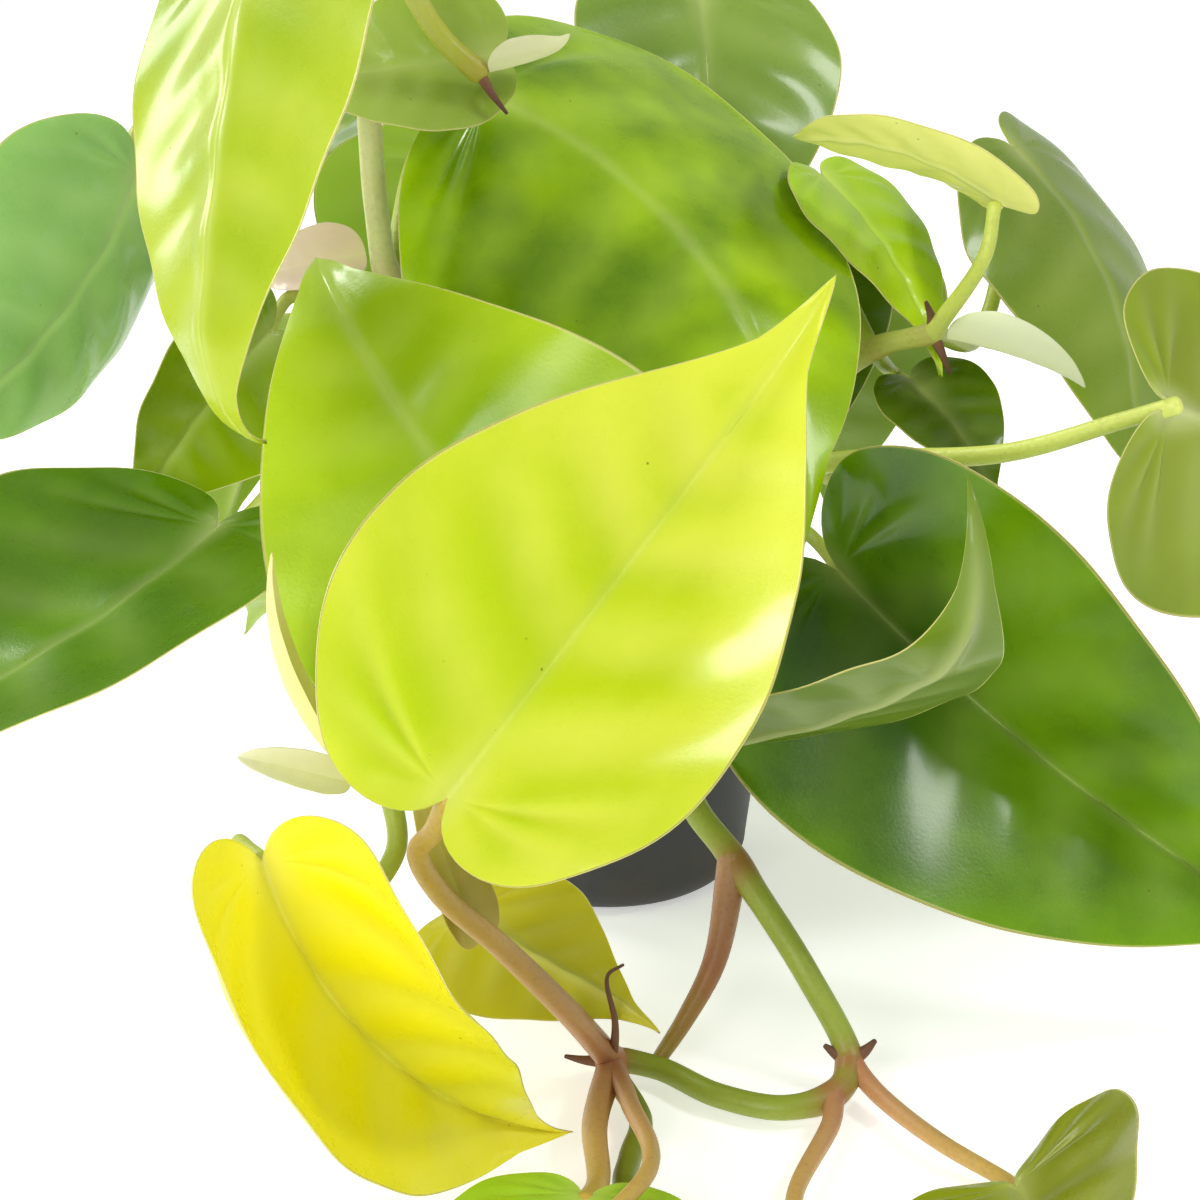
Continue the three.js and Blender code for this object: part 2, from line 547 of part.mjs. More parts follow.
const group = new THREE.Group();
group.name = 'potted_philodendron';
const paint = (color, roughness, metalness = 0) => new THREE.MeshStandardMaterial({ color, roughness, metalness });
const plastic = paint(0x34353a, 0.55);
const earth = paint(0x3a2a1e, 0.95);
const stemGreen = paint(0x97a03c, 0.5);
const leafGreen = paint(0x9cc41e, 0.42);
const sheathCream = paint(0xd8d2a0, 0.7);
const add = (name, body, material) => {
  const mesh = new THREE.Mesh(toGeometry(body), material);
  mesh.name = name;
  group.add(mesh);
};

add('pot', pot, plastic);
add('soil', soil, earth);
for (const [name, places] of Object.entries(STEMS)) {
  const length = new THREE.CatmullRomCurve3(places, false, 'centripetal').getLength();
  let body = rod(places, (t) => STEM_RADIUS * (1.08 - 0.3 * t), 8, Math.round(length / 7));
  for (const leaf of Object.values(LEAVES)) if (leaf.stem === name) body = body.add(stalk(leaf));
  for (const r of ROOTS)
    if (r.stem === name) body = body.add(rod([places[r.node], ...r.to], (t) => r.radius * (1.3 - 0.7 * t), 6, 5));
  // the joins leave slivers, which are merged into their neighbours
  add(name, body.subtract(soilRoom).asOriginal().simplify(0.08), stemGreen);
}
for (const [name, leaf] of Object.entries(LEAVES)) add(name, blade(leaf), leafGreen);
for (const [name, leaf] of Object.entries(SHEATHS)) add(name, blade(leaf, lanceMargin), sheathCream);

export default group;
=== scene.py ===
# Potted heart-leaf philodendron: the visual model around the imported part. Metres, +Z up, -Y is the front.
from math import cos, pi, radians, sin
import bmesh
import bpy
import numpy as np
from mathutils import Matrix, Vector


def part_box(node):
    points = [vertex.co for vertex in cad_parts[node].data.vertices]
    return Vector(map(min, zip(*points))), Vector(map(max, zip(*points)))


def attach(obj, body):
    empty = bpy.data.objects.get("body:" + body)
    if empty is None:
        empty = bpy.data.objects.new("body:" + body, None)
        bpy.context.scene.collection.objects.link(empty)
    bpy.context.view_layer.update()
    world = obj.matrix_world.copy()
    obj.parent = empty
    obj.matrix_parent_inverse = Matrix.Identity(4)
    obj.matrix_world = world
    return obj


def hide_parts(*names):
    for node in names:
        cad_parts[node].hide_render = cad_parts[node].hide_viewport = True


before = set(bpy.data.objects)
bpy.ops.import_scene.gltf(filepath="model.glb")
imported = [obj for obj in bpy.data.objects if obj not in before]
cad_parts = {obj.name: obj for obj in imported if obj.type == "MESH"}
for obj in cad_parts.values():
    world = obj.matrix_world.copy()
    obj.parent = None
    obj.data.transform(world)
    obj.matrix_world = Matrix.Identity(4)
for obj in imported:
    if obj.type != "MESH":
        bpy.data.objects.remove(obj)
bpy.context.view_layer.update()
MM = 0.001

# ---------------------------------------------------------------------------------------------
# Studio: a plain pale floor that glows a little, a pale surround and four soft boxes. The long
# lens looks down on the plant from the front, and cuts off its outermost leaves.
# ---------------------------------------------------------------------------------------------
FLOOR_SIDE = 60.0
LOOK_DOWN = 20
floor_mesh = bpy.data.meshes.new("studio_floor")
floor_mesh.from_pydata(
    [(sx * FLOOR_SIDE / 2, sy * FLOOR_SIDE / 2, 0) for sx, sy in ((-1, -1), (1, -1), (1, 1), (-1, 1))],
    [], [(0, 1, 2, 3)],
)
studio_floor = bpy.data.objects.new("studio_floor", floor_mesh)
bpy.context.scene.collection.objects.link(studio_floor)

surround = bpy.data.worlds.new("studio_surround")
surround.use_nodes = True
surround.node_tree.nodes["Background"].inputs["Color"].default_value = (1.0, 1.0, 1.0, 1)
surround.node_tree.nodes["Background"].inputs["Strength"].default_value = 0.5
bpy.context.scene.world = surround
bpy.context.scene.view_settings.view_transform = "Standard"


def soft_box(name, place, target, side, power):
    """A square area light at place, turned to face target."""
    lamp = bpy.data.lights.new(name, "AREA")
    lamp.shape = "SQUARE"
    lamp.size = side
    lamp.energy = power
    light = bpy.data.objects.new(name, lamp)
    light.location = place
    light.rotation_euler = (Vector(target) - Vector(place)).to_track_quat("-Z", "Y").to_euler()
    bpy.context.scene.collection.objects.link(light)


soft_box("window_left", (-0.62, 0.36, 0.86), (0, -0.05, 0.1), 0.26, 4.4)
soft_box("window_right", (0.7, -0.3, 0.95), (0, -0.05, 0.1), 0.22, 3.4)
soft_box("window_front", (-0.5, -0.95, 0.5), (0, -0.05, 0.08), 0.55, 6.2)
soft_box("window_low", (-1.0, 0.5, 0.42), (0, -0.05, 0.2), 0.3, 2.2)

lens = bpy.data.cameras.new("studio_camera")
lens.sensor_width = 36
lens.lens = 77.76
lens.clip_start = 0.01
studio_camera = bpy.data.objects.new("studio_camera", lens)
studio_camera.location = (-0.0015, -0.447, 0.215)
studio_camera.rotation_euler = (radians(90 - LOOK_DOWN), 0, 0)
bpy.context.scene.collection.objects.link(studio_camera)
bpy.context.scene.camera = studio_camera


def ink(red, green, blue):
    """A display colour of 0 to 255 as the linear colour that a shader takes."""
    c = np.array([red, green, blue]) / 255
    return (*np.where(c <= 0.04045, c / 12.92, ((c + 0.055) / 1.055) ** 2.4), 1.0)


class Value:
    """A socket of a material, with + - * and / between it and numbers or other sockets."""

    def __init__(self, socket):
        self.socket = socket

    def node(self, kind, inputs, settings=None, out=0):
        """Adds a node of that kind: its settings first, then what each input holds or is linked to."""
        tree = self.socket.node.id_data
        made = tree.nodes.new(kind)
        for key, value in (settings or {}).items():
            if key == "stops":
                ramp = made.color_ramp.elements
                while len(ramp) < len(value):
                    ramp.new(0.5)
                for stop, (at, colour) in zip(ramp, value):
                    stop.position = at
                    stop.color = colour
            else:
                setattr(made, key, value)
        for key, value in inputs.items():
            if isinstance(value, Value):
                tree.links.new(value.socket, made.inputs[key])
            else:
                made.inputs[key].default_value = value
        return Value(made.outputs[out])

    def maths(self, operation, first, second):
        """One step of arithmetic on two values or numbers."""
        return self.node("ShaderNodeMath", {0: first, 1: second}, {"operation": operation})

    def __add__(self, other):
        return self.maths("ADD", self, other)

    def __radd__(self, other):
        return self.maths("ADD", other, self)

    def __sub__(self, other):
        return self.maths("SUBTRACT", self, other)

    def __rsub__(self, other):
        return self.maths("SUBTRACT", other, self)

    def __mul__(self, other):
        return self.maths("MULTIPLY", self, other)

    def __rmul__(self, other):
        return self.maths("MULTIPLY", other, self)

    def __truediv__(self, other):
        return self.maths("DIVIDE", self, other)

    def step(self, low, high):
        """0 below low, 1 above high, and a smooth rise between them."""
        ends = {0: self, 1: low, 2: high}
        return self.node("ShaderNodeMapRange", ends, {"interpolation_type": "SMOOTHSTEP"})

    def tint(self, under, over):
        """The colour under where this is 0, and over where it is 1."""
        return self.node("ShaderNodeMix", {0: self, 6: under, 7: over}, {"data_type": "RGBA"}, out=2)

    def noise(self, scale, detail=3.0, roughness=0.55):
        """Cloudy pattern of 0 to 1 over the place that this holds."""
        grain = {"Vector": self, "Scale": scale, "Detail": detail, "Roughness": roughness}
        return self.node("ShaderNodeTexNoise", grain)

    def mapped(self, name):
        """A value that the mesh carries at each of its points."""
        return self.node("ShaderNodeAttribute", {}, {"attribute_name": name}, out=2)

    def bump(self, height, depth):
        """A normal that rises and falls by depth metres with height."""
        return self.node("ShaderNodeBump", {"Height": height, "Distance": depth, "Strength": 1.0})


def new_finish(name, **constants):
    """A material with one Principled shader: the material, the shader, and the object's place."""
    material = bpy.data.materials.new(name)
    material.use_nodes = True
    shader = material.node_tree.nodes["Principled BSDF"]
    for key, value in constants.items():
        shader.inputs[key.replace("_", " ")].default_value = value
    place = material.node_tree.nodes.new("ShaderNodeTexCoord").outputs["Object"]
    return material, shader, Value(place)


def wire(shader, **values):
    """Links worked-out values to the shader's sockets."""
    for key, value in values.items():
        shader.id_data.links.new(value.socket, shader.inputs[key.replace("_", " ")])


floor_paint, shader, place = new_finish(
    "floor_paint", Roughness=0.9, Specular_IOR_Level=0.1, Emission_Color=(1, 1, 1, 1), Emission_Strength=0.45)
wire(shader, Base_Color=place.noise(3.0).tint(ink(250, 250, 250), ink(246, 246, 246)))
floor_mesh.materials.append(floor_paint)


# ---------------------------------------------------------------------------------------------
# Pot: a plain round nursery pot of thin charcoal plastic, with a rolled lip and five drain
# holes. It is one profile turned about the upright axis, outside and inside in one line.
# ---------------------------------------------------------------------------------------------
POT_WALL = 1.6 * MM
LIP_STAND = 1.6 * MM
LIP_DEPTH = 7 * MM
LIP_ROUND = 0.7 * MM
LIP_RISE = 1 * MM
FOOT_RADIUS = 19 * MM
FOOT_ROUND = 7 * MM
DRAIN_HOLES = 5
DRAIN_SIZE = 2 * MM
DRAIN_RING = 11 * MM
DRILL_PAST = 1 * MM
POT_STEPS = 128

pot_low, pot_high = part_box("pot")
soil_low, soil_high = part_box("soil")
rim = pot_high.z
rim_radius = pot_high.x


def add_piece(name, points, faces, finish, replaces, maps=None, smooth=True):
    """Joins what coincides in a shell of points and faces, and puts it in the scene as one piece."""
    mesh = bpy.data.meshes.new(name)
    points = np.asarray(points, float).reshape(-1, 3)
    faces = np.asarray(faces, int)
    mesh.vertices.add(len(points))
    mesh.vertices.foreach_set("co", points.astype(np.float32).ravel())
    mesh.loops.add(faces.size)
    mesh.loops.foreach_set("vertex_index", faces.astype(np.int32).ravel())
    mesh.polygons.add(len(faces))
    mesh.polygons.foreach_set("loop_start", np.arange(0, faces.size, faces.shape[1], dtype=np.int32))
    for key, values in (maps or {}).items():
        held = mesh.attributes.new(key, "FLOAT", "POINT")
        held.data.foreach_set("value", np.asarray(values, np.float32).ravel())
    mesh.update(calc_edges=True)
    work = bmesh.new()
    work.from_mesh(mesh)
    bmesh.ops.remove_doubles(work, verts=work.verts, dist=1e-6)
    bmesh.ops.dissolve_degenerate(work, edges=work.edges, dist=1e-7)
    for face in work.faces:
        face.smooth = smooth
    work.to_mesh(mesh)
    work.free()
    mesh.materials.append(finish)
    piece = bpy.data.objects.new(name, mesh)
    bpy.context.scene.collection.objects.link(piece)
    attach(piece, "root")
    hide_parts(*replaces)
    return piece


def strips(rows, columns, closed=False):
    """Quads of a grid of rows by columns, whose last column meets its first where it is closed."""
    i, j = np.meshgrid(np.arange(rows - 1), np.arange(columns if closed else columns - 1), indexing="ij")
    k = (j + 1) % columns
    row, next_row = i * columns, (i + 1) * columns
    return np.stack([row + j, row + k, next_row + k, next_row + j], -1).reshape(-1, 4)


def turned(profile, steps, wobble=None):
    """Surface of revolution: each (radius, height) of the profile carried round the upright axis, and
    lifted by the wobble at its place where one is given."""
    profile = np.asarray(profile, float)
    angle = np.linspace(0, 2 * pi, steps, endpoint=False)
    radius = profile[:, 0][:, None] * np.ones(steps)
    height = profile[:, 1][:, None] * np.ones(steps)
    if wobble is not None:
        height = height + wobble(radius * np.cos(angle), radius * np.sin(angle), height)
    return np.stack([radius * np.cos(angle), radius * np.sin(angle), height], -1)


def arc(centre, radius, start, end, steps):
    """Points of a circular arc in (radius, height), angles in degrees."""
    a = np.radians(np.linspace(start, end, steps))
    return [(centre[0] + radius * x, centre[1] + radius * y) for x, y in zip(np.cos(a), np.sin(a))]


side_radius = rim_radius - LIP_STAND
inner_radius = side_radius - POT_WALL
foot_side = FOOT_RADIUS + FOOT_ROUND
lip_edge = rim_radius - LIP_ROUND
lip_inside = inner_radius + LIP_ROUND
inner_high = rim - LIP_DEPTH * 0.4
pot_profile = (
    [(0, 0.0), (FOOT_RADIUS * 0.5, 0.0)]
    + arc((FOOT_RADIUS, FOOT_ROUND), FOOT_ROUND, -90, 0, 10)
    + [(foot_side + (side_radius - foot_side) * t, FOOT_ROUND + (rim - LIP_DEPTH - FOOT_ROUND) * t)
       for t in (0.1, 0.35, 0.6, 0.85, 0.995)]
    + arc((lip_edge, rim - LIP_DEPTH + LIP_RISE), LIP_ROUND, -90, 0, 6)
    + arc((lip_edge, rim - LIP_ROUND), LIP_ROUND, 0, 90, 6)
    + arc((lip_inside, rim - LIP_ROUND), LIP_ROUND, 90, 180, 6)
    + [(inner_radius * (1 - t) + (foot_side - POT_WALL) * t, inner_high - (inner_high - FOOT_ROUND) * t)
       for t in (0.02, 0.3, 0.6, 0.98)]
    + arc((FOOT_RADIUS, FOOT_ROUND), FOOT_ROUND - POT_WALL, 0, -90, 8)
    + [(FOOT_RADIUS * 0.5, POT_WALL), (0, POT_WALL)]
)

charcoal, shader, place = new_finish("charcoal_plastic", Roughness=0.5)
dust = place.noise(60.0, 5.0, 0.65)
grain = place.noise(2600.0, 2.0)
splash = (place.node("ShaderNodeSeparateXYZ", {0: place}, out=2) / rim).step(0.35, 0.0) * dust.step(0.35, 0.8)
wire(
    shader,
    Base_Color=splash.tint(dust.step(0.3, 0.75).tint(ink(40, 40, 43), ink(52, 51, 52)), ink(66, 60, 52)),
    Roughness=0.42 + dust * 0.2 + splash * 0.2,
    Normal=place.bump(grain, 0.00004),
)
grid = turned(pot_profile, POT_STEPS)
pot_shell = add_piece("pot_shell", grid, strips(*grid.shape[:2], closed=True), charcoal, ["pot"])
drill_end = POT_WALL + DRILL_PAST
bit = turned([(0, -DRILL_PAST), (DRAIN_SIZE, -DRILL_PAST), (DRAIN_SIZE, drill_end), (0, drill_end)], 24)
bit_points = bit.reshape(-1, 3)
drill_faces, drill_points = [], []
for k in range(DRAIN_HOLES):
    a = radians(90 + 360 * k / DRAIN_HOLES)
    drill_faces.append(strips(*bit.shape[:2], closed=True) + k * len(bit_points))
    drill_points.append(bit_points + [DRAIN_RING * cos(a), DRAIN_RING * sin(a), 0])
drill = add_piece("drill", np.concatenate(drill_points), np.concatenate(drill_faces), charcoal, [])
cut = pot_shell.modifiers.new("drain_holes", "BOOLEAN")
cut.operation = "DIFFERENCE"
cut.solver = "EXACT"
cut.object = drill
bpy.context.view_layer.update()
cut_mesh = bpy.data.meshes.new_from_object(pot_shell.evaluated_get(bpy.context.evaluated_depsgraph_get()))
pot_shell.modifiers.clear()
pot_shell.data = cut_mesh
bpy.data.objects.remove(drill)


# ---------------------------------------------------------------------------------------------
# Soil: dark peat with bark crumbs, filling the pot to a little below the rim. The peat is one
# closed body with an uneven top, and the crumbs are small angular lumps pressed into it.
# ---------------------------------------------------------------------------------------------
SOIL_FOOT = 17 * MM
SOIL_CORNER = 20.5 * MM
SOIL_SINK = 0.9 * MM
WAVE_HEIGHT = 0.25 * MM
CRUMBS = 420
CRUMB_SIZE = 0.8 * MM
CRUMB_LARGEST = 1.9 * MM
soil_radius = soil_high.x
soil_top = soil_high.z
soil_draw = np.random.default_rng(11)
wave_shift = soil_draw.uniform(0, 2 * pi, (7, 3))
wave_rate = soil_draw.uniform(150, 620, (7, 2)) * soil_draw.choice([-1, 1], (7, 2))


def soil_rise(x, y, z):
    """Uneven top: a sum of seven crossed waves, sunk a little, only where z is the top."""
    waves = sum(np.sin(a * x + p) * np.cos(b * y + q) for (a, b), (p, q, _) in zip(wave_rate, wave_shift))
    return np.where(z > soil_top - 0.5 * MM, WAVE_HEIGHT * waves - SOIL_SINK, 0)


soil_profile = (
    [(0, soil_low.z), (SOIL_FOOT, soil_low.z), (SOIL_CORNER, soil_low.z + 1.2 * MM)]
    + [(soil_radius * 0.82, 8 * MM), (soil_radius - 0.3 * MM, soil_top - 2 * MM)]
    + [(soil_radius * t, soil_top) for t in np.linspace(0.97, 0, 26)]
)
peat, shader, place = new_finish("peat", Roughness=0.95)
clods = place.noise(900.0, 6.0, 0.7)
damp = place.noise(70.0, 2.0)
wire(
    shader,
    Base_Color=clods.step(0.3, 0.7).tint(ink(36, 25, 18), damp.tint(ink(74, 54, 38), ink(96, 74, 54))),
    Roughness=0.85 + clods * 0.15,
    Normal=place.bump(clods, 0.0009),
)
grid = turned(soil_profile, 96, soil_rise)
add_piece("soil_bed", grid, strips(*grid.shape[:2], closed=True), peat, ["soil"])

lump = bmesh.new()
bmesh.ops.create_icosphere(lump, subdivisions=1, radius=1)
lump_points = np.array([v.co for v in lump.verts])
lump_faces = np.array([[v.index for v in f.verts] for f in lump.faces])
lump.free()
crumb_angle = soil_draw.uniform(0, 2 * pi, CRUMBS)
crumb_reach = (soil_radius - 3 * MM) * np.sqrt(soil_draw.uniform(0, 1, CRUMBS))
crumb_size = soil_draw.lognormal(0, 0.45, CRUMBS)[:, None, None]
crumb_size = crumb_size * soil_draw.uniform(0.4, 1.0, (CRUMBS, 1, 3)) * CRUMB_SIZE
crumb_size = np.minimum(crumb_size, CRUMB_LARGEST)
turn = soil_draw.uniform(0, 2 * pi, CRUMBS)
cx, cy = crumb_reach * np.cos(crumb_angle), crumb_reach * np.sin(crumb_angle)
shape = lump_points[None] * crumb_size * soil_draw.uniform(0.75, 1.25, (CRUMBS, len(lump_points), 1))
crumb_points = np.stack([
    shape[..., 0] * np.cos(turn)[:, None] - shape[..., 1] * np.sin(turn)[:, None] + cx[:, None],
    shape[..., 0] * np.sin(turn)[:, None] + shape[..., 1] * np.cos(turn)[:, None] + cy[:, None],
    shape[..., 2] * 0.7 + soil_top - 0.5 * MM + soil_rise(cx, cy, np.full(CRUMBS, soil_top))[:, None] * 0.5,
], -1)
crumb_faces = lump_faces[None] + (np.arange(CRUMBS) * len(lump_points))[:, None, None]
bark, shader, place = new_finish("bark_crumbs", Roughness=0.9)
fibre = place.noise(1500.0, 4.0, 0.6)
tone = place.noise(230.0, 1.0)
wire(
    shader,
    Base_Color=tone.step(0.35, 0.62).tint(ink(52, 35, 24), ink(112, 82, 54)),
    Roughness=0.75 + fibre * 0.25,
    Normal=place.bump(fibre, 0.0004),
)
add_piece("soil_crumbs", crumb_points, crumb_faces.reshape(-1, 3), bark, [], smooth=False)


# ---------------------------------------------------------------------------------------------
# Leaves: thin glossy heart-shaped blades, lime when young and deeper green with age, with a
# sunk midrib, soft side veins and a fine pale margin. Each is one closed shell on a bent grid.
# ---------------------------------------------------------------------------------------------
HEART = [
    [(0, 0), (0.06, -0.085), (0.4, -0.12), (0.68, -0.03)],
    [(0.68, -0.03), (0.92, 0.045), (1.03, 0.14), (1, 0.23)],
    [(1, 0.23), (0.95, 0.45), (0.4, 0.7), (0.14, 0.85)],
    [(0.14, 0.85), (0.07, 0.91), (0.03, 0.96), (0, 1)],
]
HALF_COLUMNS = 26
MARGIN_ROWS = 76
BASAL = 0.25
LEAF_THICK = 0.46 * MM
MIDRIB_WIDTH = 0.9 * MM
VEINS = (0.10, 0.22, 0.34, 0.45, 0.56, 0.67, 0.78)
VEIN_WIDTH = 0.026
SWELL_WIDTH = 0.034
SWELL_BESIDE = 0.058


def outline_points(curves, rows):
    """Evenly spaced points of one side of an outline made of cubic curves, and how far each lies along it."""
    t = np.linspace(0, 1, 60)[:, None]
    line = np.concatenate([
        (1 - t) ** 3 * a + 3 * (1 - t) ** 2 * t * b + 3 * (1 - t) * t * t * c + t ** 3 * d
        for a, b, c, d in np.array(curves, float)
    ])
    along = np.concatenate([[0], np.cumsum(np.hypot(np.diff(line[:, 0]) * 0.4, np.diff(line[:, 1])))])
    along /= along[-1]
    share = np.linspace(0, 1, rows)
    return np.interp(share, along, line[:, 0]), np.interp(share, along, line[:, 1]), share


def blade_axes(heading, pitch, roll):
    """Axes of a blade at its base: along the midrib, up out of the face, and to the right."""
    h, p, r = radians(heading), radians(pitch), radians(roll)
    along = np.array([cos(p) * cos(h), cos(p) * sin(h), sin(p)])
    rise = np.array([-sin(p) * cos(h), -sin(p) * sin(h), cos(p)])
    face = rise * cos(r) + np.cross(along, rise) * sin(r)
    return along, face, np.cross(along, face)


def blade_grid(shape, curves, waviness, ribs):
    """Bent blade: the midrib turns down by droop and tip, sideways by sweep and about itself by twist, the
    two halves rise by fold and roll by curl, and waves and veins lift or sink the face along its own upward
    direction. Gives the places, the upward directions, the signed share across, the share along, the depth
    of the veins and the swell between them."""
    length, width = shape["length"] * MM, shape["width"] * MM
    along, face, right = blade_axes(shape["heading"], shape["pitch"], shape["roll"])
    margin_x, margin_y, share = outline_points(curves, MARGIN_ROWS)
    even = np.linspace(0, 1, HALF_COLUMNS + 1)
    half = 0.8 * (0.5 - 0.5 * np.cos(pi * even)) + 0.2 * even
    s = np.concatenate([-half[:0:-1], half])[None, :]
    inner = np.maximum(0, (1 + BASAL) * margin_y - BASAL)[:, None]
    x = s * margin_x[:, None]
    y = inner + (margin_y[:, None] - inner) * np.abs(s) ** 1.25

    g = np.linspace(-0.2, 1, 481)
    bend = np.radians(shape["droop"]) * g + np.radians(shape["tip"]) * np.maximum(0, (g - 0.6) / 0.4) ** 2
    sway = np.radians(shape["sweep"]) * g
    ahead = (np.cos(bend) * np.cos(sway))[:, None] * along - np.sin(bend)[:, None] * face \
        + (np.cos(bend) * np.sin(sway))[:, None] * right
    step = (g[1] - g[0]) * length
    line = np.concatenate([[np.zeros(3)], np.cumsum((ahead[1:] + ahead[:-1]) / 2 * step, axis=0)])
    zero = np.array([np.interp(0, g, line[:, k]) for k in range(3)])
    centre = np.stack([np.interp(y, g, line[:, k] - zero[k]) for k in range(3)], -1)
    sway_y, bend_y = np.radians(shape["sweep"]) * y, np.interp(y, g, bend)
    ahead_y = (np.cos(bend_y) * np.cos(sway_y))[..., None] * along - np.sin(bend_y)[..., None] * face \
        + (np.cos(bend_y) * np.sin(sway_y))[..., None] * right
    flat_side = -np.sin(sway_y)[..., None] * along + np.cos(sway_y)[..., None] * right
    flat_up = np.cross(flat_side, ahead_y)
    twist = np.radians(shape.get("twist", 0)) * y
    out = flat_side * np.cos(twist)[..., None] + flat_up * np.sin(twist)[..., None]
    rise = np.cross(out, ahead_y)
    fold = np.radians(np.where(x > 0, shape["fold"][1], shape["fold"][0]))
    curl = np.radians(shape["curl"] if abs(shape["curl"]) >= 0.1 else 0.1)
    lean = fold + curl * np.abs(x)
    reach = width / 2 / curl * (np.sin(lean) - np.sin(fold))
    lift = width / 2 / curl * (np.cos(fold) - np.cos(lean))
    up = rise * np.cos(lean)[..., None] - out * (np.sign(x) * np.sin(lean))[..., None]
    places = centre + out * (np.sign(x) * reach)[..., None] + rise * lift[..., None]

    # sunk midrib, soft side veins that fade at the margin, and long slow waves
    a = np.abs(s)
    across = a * margin_x[:, None] * width / 2
    rib = np.exp(-(across / MIDRIB_WIDTH) ** 2) * np.clip((1 - y) * 6, 0, 1)
    from_base = np.hypot(across, y * length)
    reach_out = np.clip((1 - a) * 1.8, 0, 1) * np.clip((from_base - 3 * MM) / (9 * MM), 0, 1)
    lanes = sum(np.exp(-((share[:, None] - v) / VEIN_WIDTH) ** 2) for v in VEINS)
    side = lanes * reach_out * np.clip(across / (2.5 * MM), 0, 1)
    between = sum(np.exp(-((share[:, None] - v - SWELL_BESIDE) / SWELL_WIDTH) ** 2) for v in VEINS)
    swell = between * reach_out
    draw = np.random.default_rng(int(abs(shape["heading"] * 7 + shape["pitch"] * 13 + length * 1e6)))
    rates, shifts = draw.uniform(0.5, 2, (2, 5)), draw.uniform(0, 6, (2, 5))
    slow = sum(np.sin(fx * x * 2.2 + p) * np.cos(fy * y * 4.4 + q) for fx, fy, p, q in zip(*rates, *shifts))
    ripple = np.sin(share * 38 + draw.uniform(0, 6))[:, None] * np.clip((a - 0.6) / 0.4, 0, 1) ** 2
    veined = ribs * (-0.4 * rib - 0.3 * side + 0.45 * swell) * MM
    waved = waviness * (0.22 * slow * np.minimum(1, a * 3) + 0.25 * ripple) * MM
    height = (veined + waved) * np.clip(width / (45 * MM), 0.25, 1)
    band_width = 1.8 * MM + 3 * MM * np.exp(-((from_base / (7 * MM)) ** 2))
    band = np.exp(-(across / band_width) ** 2) * np.clip((1 - y) * 3, 0, 1)
    near_base = 1 + 1.2 * np.exp(-((from_base / (6 * MM)) ** 2))
    pale = np.maximum(0.35 * rib + 0.65 * band, 0.35 * side) * near_base
    return places + up * height[..., None], up, s * np.ones_like(x), y, pale, swell


def leaf_finish(name, young, old, under, margin, gloss, speckle, streaks=0.16):
    """Waxy leaf skin: old near the midrib and base passing to young by clouds and along the blade, paler
    veins, an even paler underside, a fine margin line, and a few dark specks. Streaks make it paler over the
    side veins and darker on the swells between them: painted highlight and shade of the quilted face."""
    skin, shader, place = new_finish(
        name, Subsurface_Weight=0.15, Subsurface_Scale=0.0014, Subsurface_Radius=(0.8, 1.0, 0.1),
        Specular_IOR_Level=0.18, Coat_Weight=0.3, Coat_Roughness=0.14)
    cloud = place.noise(26.0, 3.0)
    mottle = place.noise(240.0, 5.0, 0.65)
    fine = place.noise(1900.0, 2.0)
    words = ("along", "across", "vein", "swell", "top")
    along, across, vein, swell, top = (place.mapped(word) for word in words)
    drift = cloud.step(0.32, 0.68) * 0.5 + along.step(0.1, 1.0) * 0.3
    # streaks: paler over the side veins and darker on the swells between them, painted highlight and shade of
    # the quilted face
    blend = (drift + (1 - swell) * streaks + (mottle - 0.5) * 0.2).step(0.0, 0.8 + streaks / 2)
    face = blend.tint(old, young)
    pale = (vein * 0.16).tint(face, ink(232, 236, 160))
    pale_under = tuple(0.5 * (u + y) for u, y in zip(under, young))
    back = (vein * 0.3).tint(blend.tint(under, pale_under), ink(226, 230, 170))
    both = top.tint(back, pale)
    edged = (across.step(0.984, 0.999) * 0.8).tint(both, margin)
    cells = place.node("ShaderNodeTexVoronoi", {"Vector": place, "Scale": 240.0}, out=0)
    specks = (1 - cells.step(0.03, 0.075)) * place.noise(55.0, 1.0).step(0.56, 0.62) * speckle
    wire(
        shader,
        Base_Color=specks.tint(edged, ink(92, 84, 20)),
        Roughness=(1 - top) * 0.18 + gloss + mottle * 0.12 + vein * 0.06,
        Normal=place.bump(mottle * 0.5 + fine * 0.25, 0.00012),
    )
    return skin


